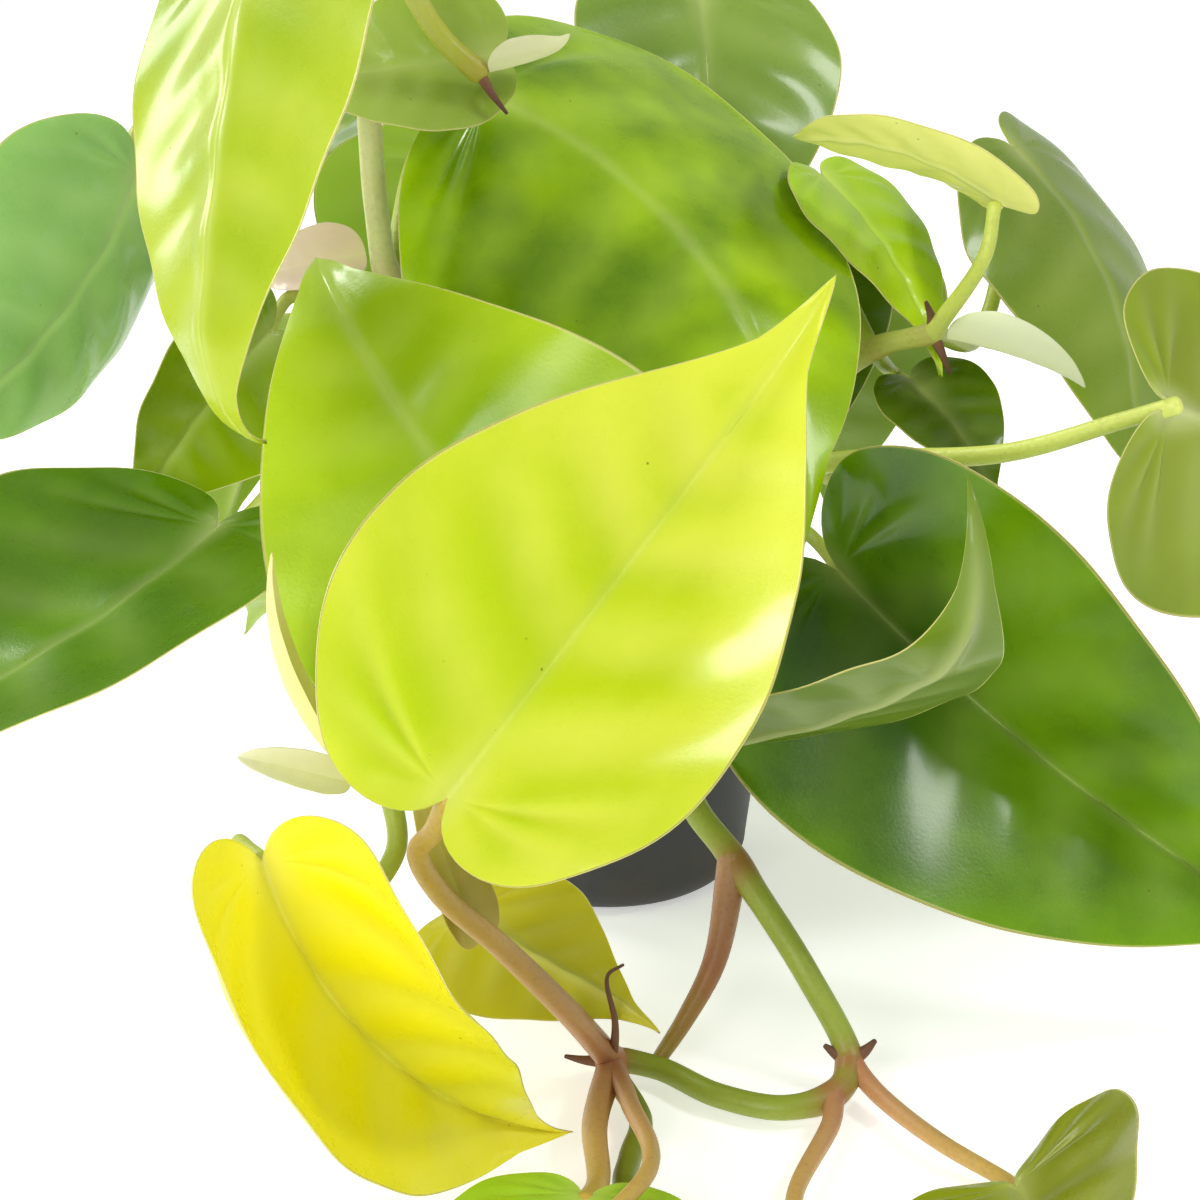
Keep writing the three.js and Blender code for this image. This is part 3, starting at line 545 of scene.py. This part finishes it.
def grow_blade(name, shape, finish, curves=HEART, thick=LEAF_THICK, waviness=1.0, ribs=1.0):
    """Closed shell on a blade grid: the grid lifted by half its thickness, the same lowered, and a rounded
    edge between them. It is set so that its box has the middle of the part's own box of that name. Gives
    the place of its base and its three axes."""
    places, up, s, y, vein, swell = blade_grid(shape, curves, waviness, ribs)
    low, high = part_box(name)
    flat = places.reshape(-1, 3)
    shift = (np.array(low) + np.array(high)) / 2 - (flat.min(0) + flat.max(0)) / 2
    places = places + shift
    half = (thick / 2 * (1 - 0.55 * np.abs(s) ** 8))[..., None]
    rows, columns = s.shape
    count = rows * columns
    edge_left = places[:, 0] + (places[:, 0] - places[:, 1]) * 0.25
    edge_right = places[:, -1] + (places[:, -1] - places[:, -2]) * 0.25
    upper, lower = (places + up * half).reshape(-1, 3), (places - up * half).reshape(-1, 3)
    points = np.concatenate([upper, lower, edge_left, edge_right])
    sheet = strips(rows, columns)
    i = np.arange(rows - 1)
    first, last = i * columns, i * columns + columns - 1
    left, right = 2 * count + i, 2 * count + rows + i
    faces = np.concatenate([
        sheet[:, ::-1],
        sheet + count,
        np.stack([first, first + columns, left + 1, left], -1),
        np.stack([left, left + 1, first + columns + count, first + count], -1),
        np.stack([last + columns, last, right, right + 1], -1),
        np.stack([right + 1, right, last + count, last + columns + count], -1),
    ])
    ends = np.ones(rows)
    maps = {
        "along": np.concatenate([y.ravel(), y.ravel(), y[:, 0], y[:, -1]]),
        "across": np.concatenate([np.abs(s).ravel(), np.abs(s).ravel(), ends, ends]),
        "vein": np.concatenate([vein.ravel(), vein.ravel(), 0 * ends, 0 * ends]),
        "swell": np.concatenate([swell.ravel(), swell.ravel(), 0 * ends, 0 * ends]),
        "top": np.concatenate([np.ones(count), np.zeros(count), 0.5 * ends, 0.5 * ends]),
    }
    add_piece(name + "_blade", points, faces, finish, [name], maps)
    return places[0, HALF_COLUMNS], *blade_axes(shape["heading"], shape["pitch"], shape["roll"])


# leaf: its shape in the order of SHAPE_WORDS, in degrees and millimetres, where fold has a left and a
# right value and twist may be left out, then its young tone, its old tone and the tone of its underside
SHAPE_WORDS = (
    "heading", "pitch", "roll", "length", "width", "droop", "fold", "curl", "tip", "sweep", "twist")
MARGIN_TONE = ink(222, 210, 140)
LEAVES = {
    "leaf_front": (
        (45, 35, 37, 97, 70, -1, (24, 24), 18, -54, -1),
        (214, 222, 62), (182, 204, 0), (186, 196, 40)),
    "leaf_behind_front": (
        (161, 47, -65, 79, 67, 33, (12, 6), -2, 47, 12),
        (172, 200, 34), (130, 164, 0), (160, 184, 30)),
    "leaf_hanging": (
        (-103, -55, 24, 80, 52, 11, (-6, -22), 16, 100, 2),
        (170, 188, 34), (138, 166, 0), (156, 172, 40)),
    "leaf_left_high": (
        (-118, -51, -93, 67, 52, 27, (4, -2), -39, 68, 24),
        (154, 196, 112), (124, 170, 84), (140, 176, 96)),
    "leaf_left_low": (
        (-121, -17, 2, 94, 71, -10, (3, 6), 28, -100, 27),
        (96, 140, 0), (70, 108, 0), (120, 150, 30)),
    "leaf_left_shade": (
        (-139, -33, -84, 44, 37, 4, (13, 13), 24, -60, -23),
        (124, 152, 0), (98, 128, 0), (126, 148, 10)),
    "leaf_yellow": (
        (-12, -75, 52, 76, 60, 16, (38, 29), 61, 2, -58),
        (242, 234, 60), (240, 230, 10), (236, 226, 44)),
    "leaf_back_lit": (
        (-53, -1, -159, 43, 32, -20, (11, 13), -13, -32, 19),
        (206, 196, 38), (190, 180, 24), (204, 192, 30)),
    "leaf_right_big": (
        (-45, -31, 62, 107, 79, 52, (37, 40), 0, -56, -11),
        (108, 150, 0), (54, 92, 0), (120, 148, 20)),
    # leaf_curled: its tones are darkened, its underside most, to the look of its downward-facing face in
    # shade: painted shade
    "leaf_curled": (
        (-46, 22, -13, 103, 35, -14, (7, 20), -12, -111, 39, -4),
        (110, 138, 0), (84, 112, 0), (84, 110, 0)),
    "leaf_right_edge": (
        (32, -23, -109, 79, 63, 31, (19, 21), 6, 0, -11),
        (150, 182, 0), (122, 150, 0), (126, 142, 8)),
    "leaf_right_far": (
        (-23, -39, 7, 78, 58, 47, (-3, -4), -19, -100, 45),
        (132, 156, 50), (108, 136, 34), (136, 156, 60)),
    "leaf_top_back": (
        (-84, -44, -13, 70, 54, 29, (8, 9), -7, 9, -7),
        (136, 164, 66), (112, 144, 46), (136, 156, 66)),
    "leaf_centre": (
        (-14, -21, 31, 102, 88, 14, (-6, -11), -26, 6, 64),
        (170, 208, 0), (86, 126, 0), (140, 170, 30)),
    "leaf_right_small": (
        (-37, -34, -4, 43, 36, 30, (8, 10), -14, 4, 8),
        (190, 224, 20), (152, 196, 0), (150, 176, 30)),
    "leaf_shoot": (
        (-164, 35, 13, 45, 28, 15, (-2, -2), 16, -34, 100),
        (248, 246, 140), (226, 220, 120), (250, 248, 146)),
    "leaf_top_small": (
        (-172, -6, -58, 38, 28, 10, (8, 8), 14, 10, 0),
        (160, 182, 76), (140, 168, 52), (154, 174, 74)),
    "leaf_right_shade": (
        (-52, -24, 11, 30, 24, 26, (11, 12), -4, 6, 7),
        (92, 120, 0), (66, 94, 0), (100, 120, 20)),
    "leaf_inner": (
        (-78, -62, 6, 44, 36, 12, (12, 12), 8, 10, 0),
        (84, 112, 0), (62, 90, 0), (96, 116, 20)),
    "leaf_floor_right": (
        (-84, 10, 28, 55, 45, 8, (14, 14), 24, -39, 34),
        (154, 164, 30), (134, 144, 10), (150, 156, 30)),
    "leaf_floor_middle": (
        (-102, -2, 0, 46, 37, 2, (6, 6), -8, 6, 0),
        (168, 206, 50), (146, 190, 30), (160, 180, 70)),
    "leaf_floor_raised": (
        (-98, 4, -6, 48, 38, 14, (12, 12), 0, 10, 4),
        (186, 210, 40), (160, 196, 16), (176, 190, 60)),
    "leaf_floor_front": (
        (-88, 6, 8, 42, 28, 10, (14, 14), 0, 8, -6),
        (170, 196, 44), (142, 176, 20), (160, 176, 60)),
    "leaf_back_high": (
        (112, -44, 4, 88, 66, 24, (14, 14), 6, 24, 6),
        (150, 192, 30), (112, 160, 10), (146, 172, 56)),
    "leaf_back_right": (
        (62, -42, -6, 80, 60, 26, (16, 16), 4, 20, -8),
        (124, 166, 16), (84, 130, 2), (130, 156, 48)),
    "leaf_back_left": (
        (146, -34, 8, 72, 54, 24, (12, 12), 8, 26, 10),
        (140, 180, 22), (100, 146, 6), (140, 162, 50)),
    "leaf_back_middle": (
        (82, -46, -4, 76, 58, 20, (14, 14), 6, 26, -6),
        (172, 204, 36), (140, 184, 12), (166, 188, 60)),
    "leaf_back_trailing": (
        (138, -14, 6, 62, 47, 18, (12, 12), 6, 22, 6),
        (150, 188, 26), (112, 154, 8), (146, 168, 54)),
    "leaf_back_floor": (
        (74, -4, -6, 56, 43, 8, (12, 12), 4, 8, -4),
        (190, 212, 44), (164, 198, 14), (178, 190, 62)),
    "leaf_side_right": (
        (28, -40, -4, 66, 50, 22, (14, 14), 6, 22, -10),
        (118, 160, 12), (80, 124, 2), (126, 152, 46)),
    "leaf_back_inner": (
        (122, -14, 0, 62, 47, 30, (12, 12), 4, 20, -8),
        (158, 196, 30), (120, 166, 8), (150, 176, 56)),
}
# leaves whose streaks are strong: painted highlight and shade of their quilted faces
QUILT_SHADED_LEAVES = ("leaf_front", "leaf_yellow")
WAX_GLOSS = 0.22
LEAF_SPECKLE = 0.7
bases = {}
for name, (values, young, old, under) in LEAVES.items():
    tones = ink(*young), ink(*old), ink(*under), MARGIN_TONE
    skin = leaf_finish(name + "_skin", *tones, WAX_GLOSS, LEAF_SPECKLE, 0.42 if name in QUILT_SHADED_LEAVES else 0.16)
    bases[name] = grow_blade(name, dict(zip(SHAPE_WORDS, values)), skin)


# ---------------------------------------------------------------------------------------------
# Stems and leaf stalks: green round canes with slightly swollen joints, and thinner stalks that
# spring from the joints, pinkish brown where they start. Each is one tube along a smooth line.
# ---------------------------------------------------------------------------------------------
STEM_THICK = 2.4 * MM
STALK_THICK = 1.25 * MM
STALK_UNDER = 0.95 * MM
JOINT_SPREAD = 3.4 * MM
SUNK = 1.2 * MM


def up(x, y, z):
    """A place whose height is counted from the rim, in millimetres."""
    return np.array([x * MM, y * MM, rim + z * MM])


def low(x, y, z):
    """A place whose height is counted from the floor, in millimetres."""
    return np.array([x, y, z]) * MM


def root(x, y):
    """A place just under the top of the soil."""
    return np.array([x * MM, y * MM, soil_top - 3 * MM])


def over(angle, out, z):
    """A place over the rim: its direction in degrees, how far out of the rim and how high above it."""
    reach = rim_radius + out * MM
    return np.array([reach * cos(radians(angle)), reach * sin(radians(angle)), rim + z * MM])


STEMS = {
    "vine_front": [
        root(6, -8), up(9, -17, 7), over(-68, 2, 6), up(16, -48, -6), low(13, -60, 41), low(20, -69, 33),
        low(31.5, -80, 18), low(38, -86, 6), low(35, -93, 4), low(27, -96, 3.4), low(17, -92, 3.2),
        low(7.6, -83.5, 3.2), low(0.5, -82.5, 3.8), low(4.8, -99.6, 3.2), low(3, -110, 3.2),
        low(2.5, -119, 3.4), low(12, -128, 4)],
    "stem_front": [
        root(-8, -9), up(-13, -20, 8), up(-20, -40, 12), up(-26, -62, 11), up(-31, -84, 5),
        up(-33, -101, -1), up(-37, -106, 0.5)],
    "stem_left": [root(-15, 2), up(-22, 1, 10), up(-34, -4, 20), up(-42, -18, 23), up(-50, -42, 28)],
    "stem_tall": [
        root(-6, 6), up(-14, 7, 10), up(-28, 3, 30), up(-38, -3, 48), up(-40, -5, 62), up(-41, -6, 84),
        up(-43, -10, 106), up(-43, -17, 120), up(-37, -23, 119), up(-31.5, -25, 101), up(-26.5, -25, 93),
        up(-21, -25, 88)],
    "stem_right": [root(13, 0), up(21, -2, 10), up(33, -4, 24), up(46, -6, 37), up(56, -10, 41)],
    "stem_back": [root(2, 12), up(4, 20, 14), up(5, 28, 34), up(6, 40, 54), up(10, 56, 70)],
    "vine_back": [
        root(-5, 17), up(-9, 26, 8), over(108, 3, 6), up(-18, 54, -14), low(-22, 62, 26),
        low(-26, 68, 9), low(-30, 76, 4), low(-30, 92, 3.2), low(-22, 106, 3.2)],
}
# aerial roots and dry spikes: stem, joint, places on the way, thickness in millimetres
ROOTS = [
    ("vine_front", 5, [low(17, -75, 18), low(12.3, -79, 9.7), low(7.6, -82.5, 3.6)], 2),
    ("vine_front", 12, [low(0.8, -93, 17), low(-0.3, -95, 26), low(2, -95.5, 28)], 0.7),
    ("vine_front", 12, [low(-4, -82.5, 4), low(-7, -82, 4.4)], 1),
    ("vine_front", 7, [low(35.8, -85.5, 7), low(34.2, -85, 8)], 1.2),
    ("vine_front", 7, [low(40.5, -85.6, 7.5), low(42, -85.2, 9)], 1.2),
    ("stem_right", 4, [up(55.6, -11, 44), up(54.4, -12, 47)], 1),
    ("stem_right", 4, [up(57.5, -11, 38), up(59, -12, 34.5)], 0.9),
    ("stem_tall", 11, [up(-19, -27, 85), up(-16.5, -28.5, 82)], 0.8),
]
# how a stalk arrives at its blade: how much along the blade's face, along its midrib and to its right
IN_NOTCH = (0.25, 1, 0)
FROM_BELOW = (0.8, 0.5, 0)
STRAIGHT_ON = None
# leaf: stem, joint, places on the way, how it arrives, relative thickness
STALKS = {
    "leaf_front": (
        "vine_front", 12,
        [low(-7, -99.6, 23), low(-16.2, -106.5, 37), low(-24.4, -113, 48.8), low(-27, -118, 58)],
        (0.9, 0.3, 0), 1.35),
    "leaf_behind_front": ("stem_front", 3, [], FROM_BELOW, 1),
    "leaf_hanging": ("stem_tall", 7, [up(-44, -40, 126), up(-46, -62, 127)], (0.5, 0.9, 0), 1),
    "leaf_left_high": ("stem_left", 2, [up(-52, 6, 46), up(-70, 6, 68)], IN_NOTCH, 1),
    "leaf_left_low": ("stem_left", 4, [], IN_NOTCH, 1),
    "leaf_left_shade": ("stem_left", 2, [], IN_NOTCH, 1),
    "leaf_yellow": ("stem_front", 5, [up(-31, -108, -11), low(-39, -115, 47)], (1, 0, 0), 1),
    "leaf_back_lit": ("stem_front", 4, [low(-28, -74, 48)], FROM_BELOW, 1),
    "leaf_right_big": ("stem_right", 1, [], IN_NOTCH, 1),
    "leaf_curled": ("vine_front", 3, [], FROM_BELOW, 1),
    "leaf_right_edge": ("stem_right", 1, [up(38, -24, 22), up(65, -43, 29.5)], STRAIGHT_ON, 1.25),
    "leaf_right_far": ("stem_right", 4, [up(66, 6, 36), up(71, 18, 48)], (0.9, 0.4, 0), 1),
    "leaf_top_back": ("stem_back", 4, [], (0.9, 0.3, 0), 1),
    "leaf_centre": ("stem_back", 2, [], FROM_BELOW, 1),
    "leaf_right_small": ("stem_right", 3, [], (0.7, -0.6, 0), 1),
    "leaf_shoot": ("stem_right", 4, [], (0.8, 0.3, 0), 1),
    "leaf_top_small": ("stem_tall", 5, [up(-29, -9, 89)], (1, 0, 0), 1),
    "leaf_right_shade": ("stem_right", 3, [], IN_NOTCH, 1),
    "leaf_inner": ("stem_right", 1, [up(26, 16, 34)], (0.9, 0.3, 0), 1),
    "leaf_floor_right": ("vine_front", 7, [low(42, -93, 4), low(50, -107, 4)], IN_NOTCH, 1),
    "leaf_floor_middle": ("vine_front", 12, [low(-2.3, -105.3, 6)], (0.25, 1, 0), 1.45),
    "leaf_floor_raised": ("vine_front", 12, [low(3, -103, 8.5), low(5.4, -131, 14.5)], IN_NOTCH, 1),
    "leaf_floor_front": ("vine_front", 8, [low(34, -101, 4), low(27, -121, 4)], IN_NOTCH, 1),
    "leaf_back_high": ("stem_back", 3, [], IN_NOTCH, 1),
    "leaf_back_right": ("stem_back", 1, [up(22, 37, 24)], IN_NOTCH, 1),
    "leaf_back_left": ("stem_left", 1, [up(-32, 16, 26)], IN_NOTCH, 1),
    "leaf_back_middle": ("stem_back", 1, [], IN_NOTCH, 1),
    "leaf_back_trailing": ("vine_back", 4, [], IN_NOTCH, 1),
    "leaf_back_floor": ("vine_back", 6, [], IN_NOTCH, 1),
    "leaf_side_right": ("stem_right", 1, [up(32, 10, 16)], IN_NOTCH, 1),
    "leaf_back_inner": ("stem_tall", 3, [up(-35, 14, 66)], IN_NOTCH, 1),
}


def smooth_line(places, steps):
    """Evenly spaced points of a centripetal Catmull-Rom line through the places, and its length."""
    p = np.array([2 * places[0] - places[1], *places, 2 * places[-1] - places[-2]])
    t = np.linspace(0, 1, 40)[:, None]
    parts = []
    for a, b, c, d in zip(p, p[1:], p[2:], p[3:]):
        u, v, w = (max(np.linalg.norm(m - n), 1e-9) ** 0.5 for m, n in ((b, a), (c, b), (d, c)))
        start = ((b - a) / u - (c - a) / (u + v) + (c - b) / v) * v
        end = ((c - b) / v - (d - b) / (v + w) + (d - c) / w) * v
        square, cube = 3 * (c - b) - 2 * start - end, 2 * (b - c) + start + end
        parts.append(b + start * t + square * t ** 2 + cube * t ** 3)
    line = np.concatenate(parts)
    along = np.concatenate([[0], np.cumsum(np.linalg.norm(np.diff(line, axis=0), axis=1))])
    share = np.linspace(0, 1, steps) * along[-1]
    return np.stack([np.interp(share, along, line[:, k]) for k in range(3)], -1), along[-1]


def tube(name, places, radius, finish, replaces, sides=18, spacing=1.1 * MM, joint=None):
    """Round tube whose ring at each point of a smooth line is turned to it with the least twist, with rounded
    ends. radius takes the share along, from 0 to 1, and the distance along in metres; joint gives how much of
    a joint there is at a share along."""
    _, length = smooth_line(places, 3)
    steps = max(12, int(length / spacing))
    line, length = smooth_line(places, steps)
    ahead = np.gradient(line, axis=0)
    ahead /= np.linalg.norm(ahead, axis=1)[:, None]
    side = np.empty_like(ahead)
    side[0] = np.cross(ahead[0], (0, 0, 1) if abs(ahead[0][2]) < 0.9 else (1, 0, 0))
    for k in range(1, steps):
        side[k] = side[k - 1] - ahead[k] * np.dot(side[k - 1], ahead[k])
        side[k] /= np.linalg.norm(side[k])
    side[0] /= np.linalg.norm(side[0])
    other = np.cross(ahead, side)
    share = np.linspace(0, 1, steps)
    r = radius(share, share * length)
    angle = np.linspace(0, 2 * pi, sides, endpoint=False)
    ring = side[:, None] * np.cos(angle)[None, :, None] + other[:, None] * np.sin(angle)[None, :, None]
    body = line[:, None] + ring * r[:, None, None]
    cap = [(0.35, 0.9), (0.6, 0.6), (0.7, 0.0)]
    head = [line[0] - ahead[0] * r[0] * q + ring[0] * r[0] * w for q, w in cap[::-1]]
    tail = [line[-1] + ahead[-1] * r[-1] * q + ring[-1] * r[-1] * w for q, w in cap]
    grid = np.concatenate([np.array(head), body, np.array(tail)])
    full = np.concatenate([[0] * 3, share, [1] * 3])
    swollen = joint(full) if joint else 0 * full
    data = {"along": np.repeat(full, sides), "joint": np.repeat(swollen, sides)}
    quads = strips(*grid.shape[:2], closed=True)[:, ::-1]
    add_piece(name, grid, quads, finish, replaces, data)


def cane_finish(name, start, middle, end, gloss=0.34, turn=0.3, rosy=0.25):
    """Smooth skin that passes from one tone to the next along the cane, the middle one at turn, with fine
    streaks, and rosy brown by that much at the joints."""
    skin, shader, place = new_finish(
        name, Subsurface_Weight=0.12, Subsurface_Scale=0.001, Specular_IOR_Level=0.45)
    along = place.mapped("along")
    cloud = place.noise(160.0, 4.0, 0.6)
    streak = place.noise(1200.0, 3.0)
    shade = along + (cloud - 0.5) * 0.25
    tone = shade.node("ShaderNodeValToRGB", {0: shade}, {"stops": [(0.0, start), (turn, middle), (1.0, end)]})
    skin_tone = (streak.step(0.45, 0.8) * 0.35).tint(tone, tuple(0.62 * c for c in middle[:3]) + (1,))
    wire(
        shader,
        Base_Color=(place.mapped("joint") * rosy).tint(skin_tone, ink(158, 100, 62)),
        Roughness=gloss + cloud * 0.15,
        Normal=place.bump(streak, 0.00012),
    )
    return skin


# stem colours: at the soil, in the middle, at the end
MOSS, SAGE, LEEK = ink(112, 132, 48), ink(160, 176, 60), ink(186, 196, 90)
ROSE, TAN, HONEY = ink(176, 118, 84), ink(196, 150, 96), ink(206, 176, 78)
green_cane = cane_finish("cane_green", MOSS, SAGE, LEEK)
green_stalk = cane_finish("stalk_green", SAGE, ink(178, 192, 74), LEEK)
rosy_stalk = cane_finish("stalk_rosy", ROSE, TAN, HONEY)
vine_cane = cane_finish(
    "cane_vine", ink(170, 184, 80), ink(156, 172, 64), ink(112, 126, 10), turn=0.4, rosy=0.85)
pale_cane = cane_finish("cane_pale", MOSS, ink(208, 210, 140), ink(172, 178, 40), turn=0.45)
cream_stalk = cane_finish("stalk_cream", LEEK, ink(206, 218, 96), ink(214, 224, 110))
CANES = {"vine_front": vine_cane, "stem_tall": pale_cane}
PALE_STALKS = ("leaf_right_edge", "leaf_shoot")
ticks = np.linspace(0, 1, 400)
for name, places in STEMS.items():
    joints = np.cumsum([0] + [np.linalg.norm(b - a) for a, b in zip(places, places[1:])])
    joints = joints / joints[-1]
    sprung = sorted({node for stem, node, *_ in [*STALKS.values(), *ROOTS] if stem == name})
    spread = JOINT_SPREAD / smooth_line(places, 3)[1]
    flare = sum(np.exp(-((ticks - joints[j]) / spread) ** 2) for j in sprung)

    def joint(share, flare=flare):
        return np.interp(share, ticks, np.minimum(1, flare))

    def cane_radius(share, far, joint=joint):
        return STEM_THICK * (1.02 - 0.3 * share) * (1 + 0.16 * joint(share))

    first = smooth_line(places, 200)[0]
    above = first[first[:, 2] > soil_top + 0.1 * MM] if places[0][2] < soil_top else first
    places = [above[0] - (0, 0, SUNK), *places[1:]]
    tube(name + "_cane", places, cane_radius, CANES.get(name, green_cane), [name], joint=joint)

for name, (stem, node, via, arrive, thick) in STALKS.items():
    base, along, face, right_axis = bases[name]
    start = STEMS[stem][node]
    end = base - face * STALK_UNDER
    if arrive is STRAIGHT_ON:
        way = end - (via[-1] if via else start)
    else:
        below, behind, aside = arrive
        way = face * below + along * behind + right_axis * aside
    way = way / np.linalg.norm(way)
    before = end - way * min(9 * MM, np.linalg.norm(end - start) * 0.3)
    finish = rosy_stalk if stem == "vine_front" else cream_stalk if name in PALE_STALKS else green_stalk
    size = STALK_THICK * thick

    def stalk_radius(share, far, size=size):
        at_joint = 0.25 * np.exp(-(far / (2.2 * MM)) ** 2)
        at_blade = 0.1 * np.clip((share - 0.93) / 0.07, 0, 1)
        return size * (1.3 - 0.42 * share + at_joint + at_blade)

    tube(name + "_stalk", [start, *via, before, end], stalk_radius, finish, [stem], sides=14)

dry_root = cane_finish("root_dry", ink(150, 98, 62), ink(124, 84, 58), ink(92, 62, 46), 0.6)
rosy_root = cane_finish("root_rosy", ink(178, 136, 96), ink(150, 98, 60), ink(140, 122, 30), turn=0.5)
THICK_ROOT = 1.5
for number, (stem, node, to, thick) in enumerate(ROOTS, 1):
    root_skin, thinning = (rosy_root, 0.7) if thick > THICK_ROOT else (dry_root, 0.95)

    def root_radius(share, far, thick=thick, thinning=thinning):
        return thick * MM * (1.3 - thinning * share)

    route = [STEMS[stem][node], *to]
    tube(f"aerial_root_{number}", route, root_radius, root_skin, [stem], sides=12, spacing=0.6 * MM)


# ---------------------------------------------------------------------------------------------
# Sheaths: the dry papery covers that young leaves leave behind at the joints, thin and curled
# lengthwise. Each is a narrow lance-shaped blade of its own, cream with greenish or pink parts.
# ---------------------------------------------------------------------------------------------
LANCE = [
    [(0, 0), (0.5, -0.01), (0.85, 0.1), (1, 0.28)],
    [(1, 0.28), (1.08, 0.5), (0.75, 0.78), (0.3, 0.93)],
    [(0.3, 0.93), (0.2, 0.97), (0.08, 0.99), (0, 1)],
]
SHEATH_THICK = 0.3 * MM
PAPER_GLOSS = 0.5
PAPER_SPECKLE = 0.2
# sheath: its shape as for a leaf, then the tones of its tip and its base
SHEATHS = {
    "sheath_front": (
        (178, 44, 0, 36, 8, -60, (24, 24), 50, 0, 0),
        ink(230, 224, 146), ink(206, 204, 96)),
    "sheath_front_short": (
        (196, 22, -60, 17, 7, 10, (20, 20), 30, 20, 0),
        ink(228, 226, 190), ink(214, 212, 160)),
    "sheath_shoot": (
        (-32, -2, -50, 27, 13, 14, (20, 20), 50, 10, -6),
        ink(224, 230, 196), ink(206, 216, 130)),
    "sheath_tall": (
        (-170, -8, -60, 19, 14, 10, (16, 16), 40, 30, 0),
        ink(226, 204, 184), ink(212, 188, 150)),
    "sheath_tip": (
        (-10, 12, -30, 15, 9, -20, (20, 20), 60, -60, -10),
        ink(222, 222, 176), ink(198, 196, 130)),
    "sheath_floor": (
        (-36, 6, 0, 11, 5, -10, (40, 40), 60, 0, 0),
        ink(216, 214, 120), ink(196, 190, 100)),
    "sheath_stalk": (
        (-133, 68, -112, 32, 11, 0, (20, 20), 40, 0, 0),
        ink(200, 184, 84), ink(176, 160, 60)),
}
for name, (values, tip_tone, base_tone) in SHEATHS.items():
    tones = tip_tone, base_tone, tip_tone, tip_tone
    paper = leaf_finish(name + "_paper", *tones, PAPER_GLOSS, PAPER_SPECKLE)
    grow_blade(name, dict(zip(SHAPE_WORDS, values)), paper, LANCE, SHEATH_THICK, 0.6, 0.3)
